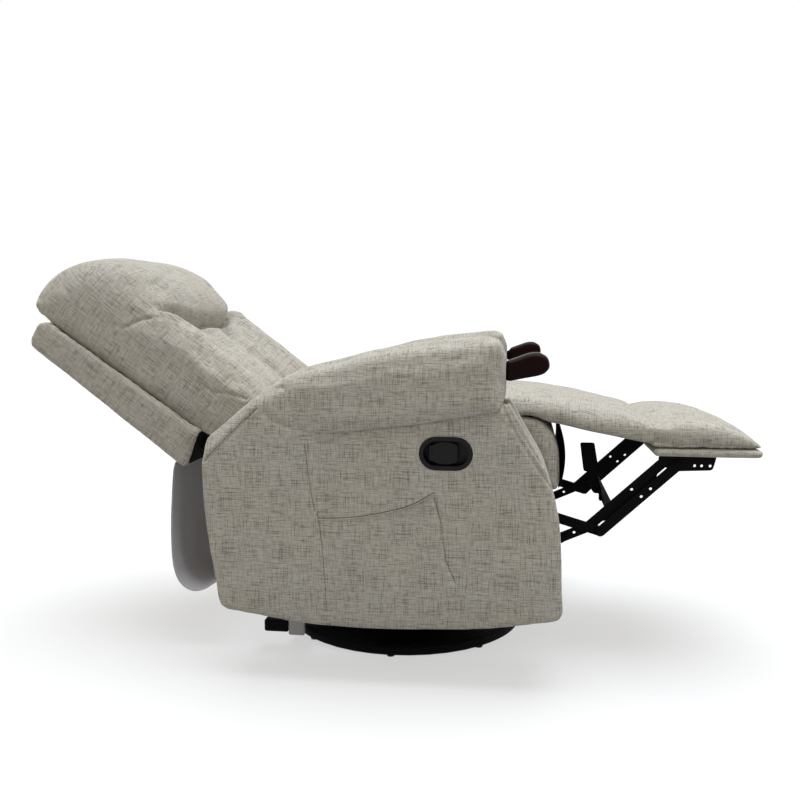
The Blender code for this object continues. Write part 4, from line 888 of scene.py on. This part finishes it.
bm = bmesh.new()
lips = [p + Vector((0, -0.03, panel["slit"])) for p in slitLine]
lips += [p + Vector((0, -0.03, -panel["slit"])) for p in reversed(slitLine)]
made = bmesh.ops.extrude_face_region(bm, geom=[bm.faces.new([bm.verts.new(p) for p in lips])])["geom"]
bmesh.ops.translate(bm, verts=[g for g in made if isinstance(g, bmesh.types.BMVert)], vec=(0, 0.070, 0))
bmesh.ops.recalc_face_normals(bm, faces=bm.faces)
carve(sideRight, pieceFrom("slitKnife", bm))

bm = bmesh.new()
bmesh.ops.create_circle(bm, cap_ends=True, segments=48, radius=panel["leverHigh"],
                        matrix=Matrix.Rotation(math.pi / 2, 4, "X"))
for vert in bm.verts:
    vert.co.x += math.copysign(panel["leverStraight"], vert.co.x)
made = bmesh.ops.extrude_face_region(bm, geom=bm.faces[:])["geom"]
bmesh.ops.translate(bm, verts=[g for g in made if isinstance(g, bmesh.types.BMVert)], vec=(0, 0.080, 0))
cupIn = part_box("lever_surround")[1].y
bmesh.ops.translate(bm, verts=bm.verts, vec=at(panel["leverX"], cupIn + 0.001 - 0.080, panel["leverZ"]))
bmesh.ops.recalc_face_normals(bm, faces=bm.faces)
carve(sideRight, pieceFrom("leverKnife", bm))

layCloth(sidePanel, 0, (5.5, 0.4))
layCloth(sideRight, 0, (6.3, 0.9))
wear(sidePanel, "linen", "chassis", "upholstery_fabric", ("side_panel_left",), 0.9)
wear(sideRight, "linen", "chassis", "upholstery_fabric", ("side_panel_right",), 0.9)
hemLine = onto(sideRight, [p + Vector((0, -0.004, -panel["slit"] - 0.0012)) for p in slitLine], 0.0004)
rows = [wingSeam, [p + Vector((0.0035, 0, -0.0035)) for p in wingSeam]] + downSeams
stitches("panelStitches", sideRight, rows, "chassis")
welt = tube("pocketWelt", hemLine, 0.0014)
layCloth(welt, 0, (7.1, 0.3))
wear(welt, "linen", "chassis", "upholstery_fabric")
print("side panels made")


# Hand grips, smooth all round
for end in ("right", "left"):
    grip = relax(skin(pieceFrom("handGrip" + end.title(), cadCopy("hand_grip_" + end)), 0.0028), 6)
    wear(finer(grip), "grip", "chassis", "stained_hardwood", ("hand_grip_" + end,))
print("hand grips made")


# Cloth that closes the rear, hung from the foot of the back shell and curled under
flap = {"half": 0.274, "wide": 72, "tall": 60, "thick": 0.0016, "wave": 0.006,
        "path": [(0, 0), (-0.0050, -0.020), (-0.0100, -0.070), (-0.0150, -0.140), (-0.0150, -0.213),
                 (-0.0080, -0.253), (0.0070, -0.276), (0.0300, -0.287), (0.0540, -0.283), (0.0760, -0.270)]}
hang = Vector(joints["cloth_swing"]["pos_m"])
fall = dense(flowing([hang + Vector((x, 0, z)) for x, z in flap["path"]]), 0.001)
bm = bmesh.new()
weave = bm.loops.layers.uv.new("weave")
bmesh.ops.create_grid(bm, x_segments=flap["wide"], y_segments=flap["tall"], size=1)
for f in bm.faces:
    for loop in f.loops:
        loop[weave].uv = (loop.vert.co.x * flap["half"] + 8, loop.vert.co.y * len(fall) * 0.0005)
for vert in bm.verts:
    part = (vert.co.x + 1) / 2
    spot = fall[round((1 - vert.co.y) / 2 * (len(fall) - 1))]
    drop = min(1, max(0, (hang.z - spot.z) / 0.25))
    wave = math.sin(4.3 * math.pi * part + 0.6) + 0.5 * math.sin(9.1 * math.pi * part)
    sway = flap["wave"] * wave * drop
    vert.co = spot + Vector((sway, (2 * part - 1) * flap["half"], 0.5 * sway * drop))
bmesh.ops.recalc_face_normals(bm, faces=bm.faces)
if sum((f.normal.x for f in bm.faces if f.calc_center_median().z > hang.z - 0.2)) > 0:
    bmesh.ops.reverse_faces(bm, faces=bm.faces)
rearCloth = pieceFrom("rearCloth", bm)
thick = rearCloth.modifiers.new("thick", "SOLIDIFY")
thick.thickness = flap["thick"]
thick.offset = 0
thick.material_offset = 1
dress(rearCloth, "linen", "backing")
settled(rearCloth)
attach(rearCloth, "rear_cloth")
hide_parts("rear_cloth")
print("rear cloth made:", len(fall), "mm long")


# Black lining on the front of the seat and in the pocket
lining = {"half": 0.250, "top": 0.503, "belly": 0.0125, "thick": 0.0008}
low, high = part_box("seat_front_lining")
tall = lining["top"] - low.z
bm = bmesh.new()
bmesh.ops.create_grid(bm, x_segments=60, y_segments=24, size=0.5, matrix=Matrix.Rotation(math.pi / 2, 4, "X"))
bmesh.ops.rotate(bm, verts=bm.verts, matrix=Matrix.Rotation(math.pi / 2, 3, "Z"))
bmesh.ops.scale(bm, vec=(1, 2 * lining["half"], tall), verts=bm.verts)
bmesh.ops.translate(bm, verts=bm.verts, vec=(low.x + 0.0008, 0, low.z + tall / 2))
for vert in bm.verts:
    part = min(1, max(0, (vert.co.z - low.z) / tall))
    vert.co.x += lining["belly"] * math.sin(math.pi * part) ** 0.7 + 0.0006 * math.sin(31 * vert.co.y)
bmesh.ops.recalc_face_normals(bm, faces=bm.faces)
frontLining = pieceFrom("frontLining", bm)
thick = frontLining.modifiers.new("thick", "SOLIDIFY")
thick.thickness = lining["thick"]
settled(frontLining)
wear(frontLining, "lining", "seat", "black_lining", ("seat_front_lining",))

low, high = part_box("pocket_bag")
bm = bmesh.new()
bmesh.ops.create_cube(bm, size=1)
bmesh.ops.scale(bm, vec=high - low - Vector((0.006, 0.006, 0.004)), verts=bm.verts)
bmesh.ops.translate(bm, verts=bm.verts, vec=(low + high) / 2)
top = max(bm.faces, key=lambda f: f.calc_center_median().z)
bmesh.ops.delete(bm, geom=[top], context="FACES")
bmesh.ops.subdivide_edges(bm, edges=bm.edges, cuts=11, use_grid_fill=True)
for vert in bm.verts:
    part = (vert.co.x - low.x) / (high.x - low.x)
    deep = (high.z - vert.co.z) / (high.z - low.z)
    vert.co.z += 0.012 * (1 - math.sin(math.pi * part)) * deep ** 4
    mid = (low.y + high.y) / 2
    vert.co.y = mid + (vert.co.y - mid) * (0.62 + 0.34 * math.sin(math.pi * min(1, deep * 1.1)) - 0.3 * deep ** 6)
bmesh.ops.recalc_face_normals(bm, faces=bm.faces)
pocketBag = pieceFrom("pocketBag", bm)
thick = pocketBag.modifiers.new("thick", "SOLIDIFY")
thick.thickness = 0.0012
finer(settled(pocketBag))
wear(pocketBag, "lining", "chassis", "black_lining", ("pocket_bag",))
print("linings made")


# Floor ring, and glides under the arms
ring = {"grooveAt": 0.55, "groove": 0.0016, "steps": 144}
low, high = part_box("floor_ring")
outer = (high.x - low.x) / 2
inner = outer - 0.024
bm = bmesh.new()
corners = [(inner, low.z), (outer, low.z), (outer, high.z), (inner, high.z)]
face = bm.faces.new([bm.verts.new((x, 0, z)) for x, z in corners])
bmesh.ops.bevel(bm, geom=bm.verts[:], offset=0.0052, segments=4, profile=0.5, affect="VERTICES", material=-1)
rim = bm.edges[:]
bmesh.ops.delete(bm, geom=bm.faces[:], context="FACES_ONLY")
bmesh.ops.spin(bm, geom=bm.verts[:] + bm.edges[:], cent=(0, 0, 0), axis=(0, 0, 1), angle=math.tau,
               steps=ring["steps"], use_merge=True, use_duplicate=False)
bmesh.ops.remove_doubles(bm, verts=bm.verts, dist=1e-6)
bmesh.ops.translate(bm, verts=bm.verts, vec=at(0, 0, 0))
bmesh.ops.recalc_face_normals(bm, faces=bm.faces)
floorRing = pieceFrom("floorRing", bm)
wear(floorRing, "steel", "base", "black_steel", ("floor_ring",))
for end, x, z in (("Rear", -0.262, 0.140), ("Front", 0.325, 0.151)):
    for side in (-1, 1):
        bm = bmesh.new()
        bmesh.ops.create_cone(bm, cap_ends=True, segments=24, radius1=0.0085, radius2=0.0100, depth=0.012,
                              matrix=Matrix.Translation(at(x, side * 0.405, z)))
        bmesh.ops.bevel(bm, geom=[e for e in bm.edges if len(e.link_faces[0].verts) != len(e.link_faces[1].verts)],
                        offset=0.0014, segments=2, profile=0.5, affect="EDGES", material=-1)
        glide = pieceFrom("armGlide" + end + ("Right" if side < 0 else "Left"), bm)
        wear(glide, "plastic", "chassis", "black_plastic")
print("floor ring and arm glides made")


# Finishes of the nodes that show as they are
nodeFinish = {"black_steel": "steel", "spring_steel": "zinc", "black_plastic": "plastic", "frame_timber": "timber",
              "stained_hardwood": "grip", "black_lining": "lining", "pale_nylon": "nylon",
              "upholstery_fabric": "backing"}
slots = {row["node"]: row["material_slot"] for row in frame["record"]["subparts"]}
for name, obj in nodes.items():
    obj.data.materials.clear()
    obj.data.materials.append(finishes["steel" if name == "lever_pin" else nodeFinish[slots[name]]])

# Floor, world and lamps
stage = {"floor": 0.36, "lift": 0.56, "sky": 0.53, "skyTint": (1.0, 0.96, 0.89),
         "sun": 3.25, "sunTint": (0.89, 0.94, 1.0), "sunWide": 52, "sunTilt": -7, "sunTurn": -30}
bm = bmesh.new()
bmesh.ops.create_grid(bm, x_segments=1, y_segments=1, size=30)
floor = pieceFrom("floor", bm)
paint, wire, shader = newFinish("floorPaint", Base_Color=(stage["floor"],) * 3 + (1,), Roughness=0.9,
                                Specular_IOR_Level=0.1)
seenBy = wire.make("ShaderNodeLightPath")
rays = seenBy.socket.node.outputs
direct = Wire(wire.tree, rays["Is Camera Ray"]) + Wire(wire.tree, rays["Is Glossy Ray"])
direct = direct + Wire(wire.tree, rays["Is Transmission Ray"])
glow = wire.make("ShaderNodeEmission", None, {"Color": (1, 1, 1, 1), "Strength": direct * stage["lift"]})
both = wire.make("ShaderNodeAddShader", None, {0: Wire(wire.tree, shader.outputs[0]), 1: glow})
wire.tree.links.new(both.socket, wire.tree.nodes["Material Output"].inputs["Surface"])
floor.data.materials.append(paint)

world = bpy.data.worlds.new("studio")
scene.world = world
world.use_nodes = True
sky = Wire(world.node_tree)
seenBy = sky.make("ShaderNodeLightPath")
rays = seenBy.socket.node.outputs
direct = Wire(sky.tree, rays["Is Camera Ray"]) + Wire(sky.tree, rays["Is Glossy Ray"])
direct = direct + Wire(sky.tree, rays["Is Transmission Ray"])
strength = direct.step(0, 1) * (1 - stage["sky"]) + stage["sky"]
world.node_tree.links.new(strength.socket, world.node_tree.nodes["Background"].inputs["Strength"])
shade = direct.step(0, 1).tint(stage["skyTint"], (1, 1, 1))
world.node_tree.links.new(shade.socket, world.node_tree.nodes["Background"].inputs["Color"])

lamp = bpy.data.lights.new("overhead", "SUN")
lamp.energy = stage["sun"]
lamp.color = stage["sunTint"]
lamp.angle = math.radians(stage["sunWide"])
overhead = bpy.data.objects.new("overhead", lamp)
overhead.rotation_euler = (math.radians(stage["sunTilt"]), 0, math.radians(stage["sunTurn"]))
scene.collection.objects.link(overhead)
scene.view_settings.view_transform = "Standard"
print("stage set")
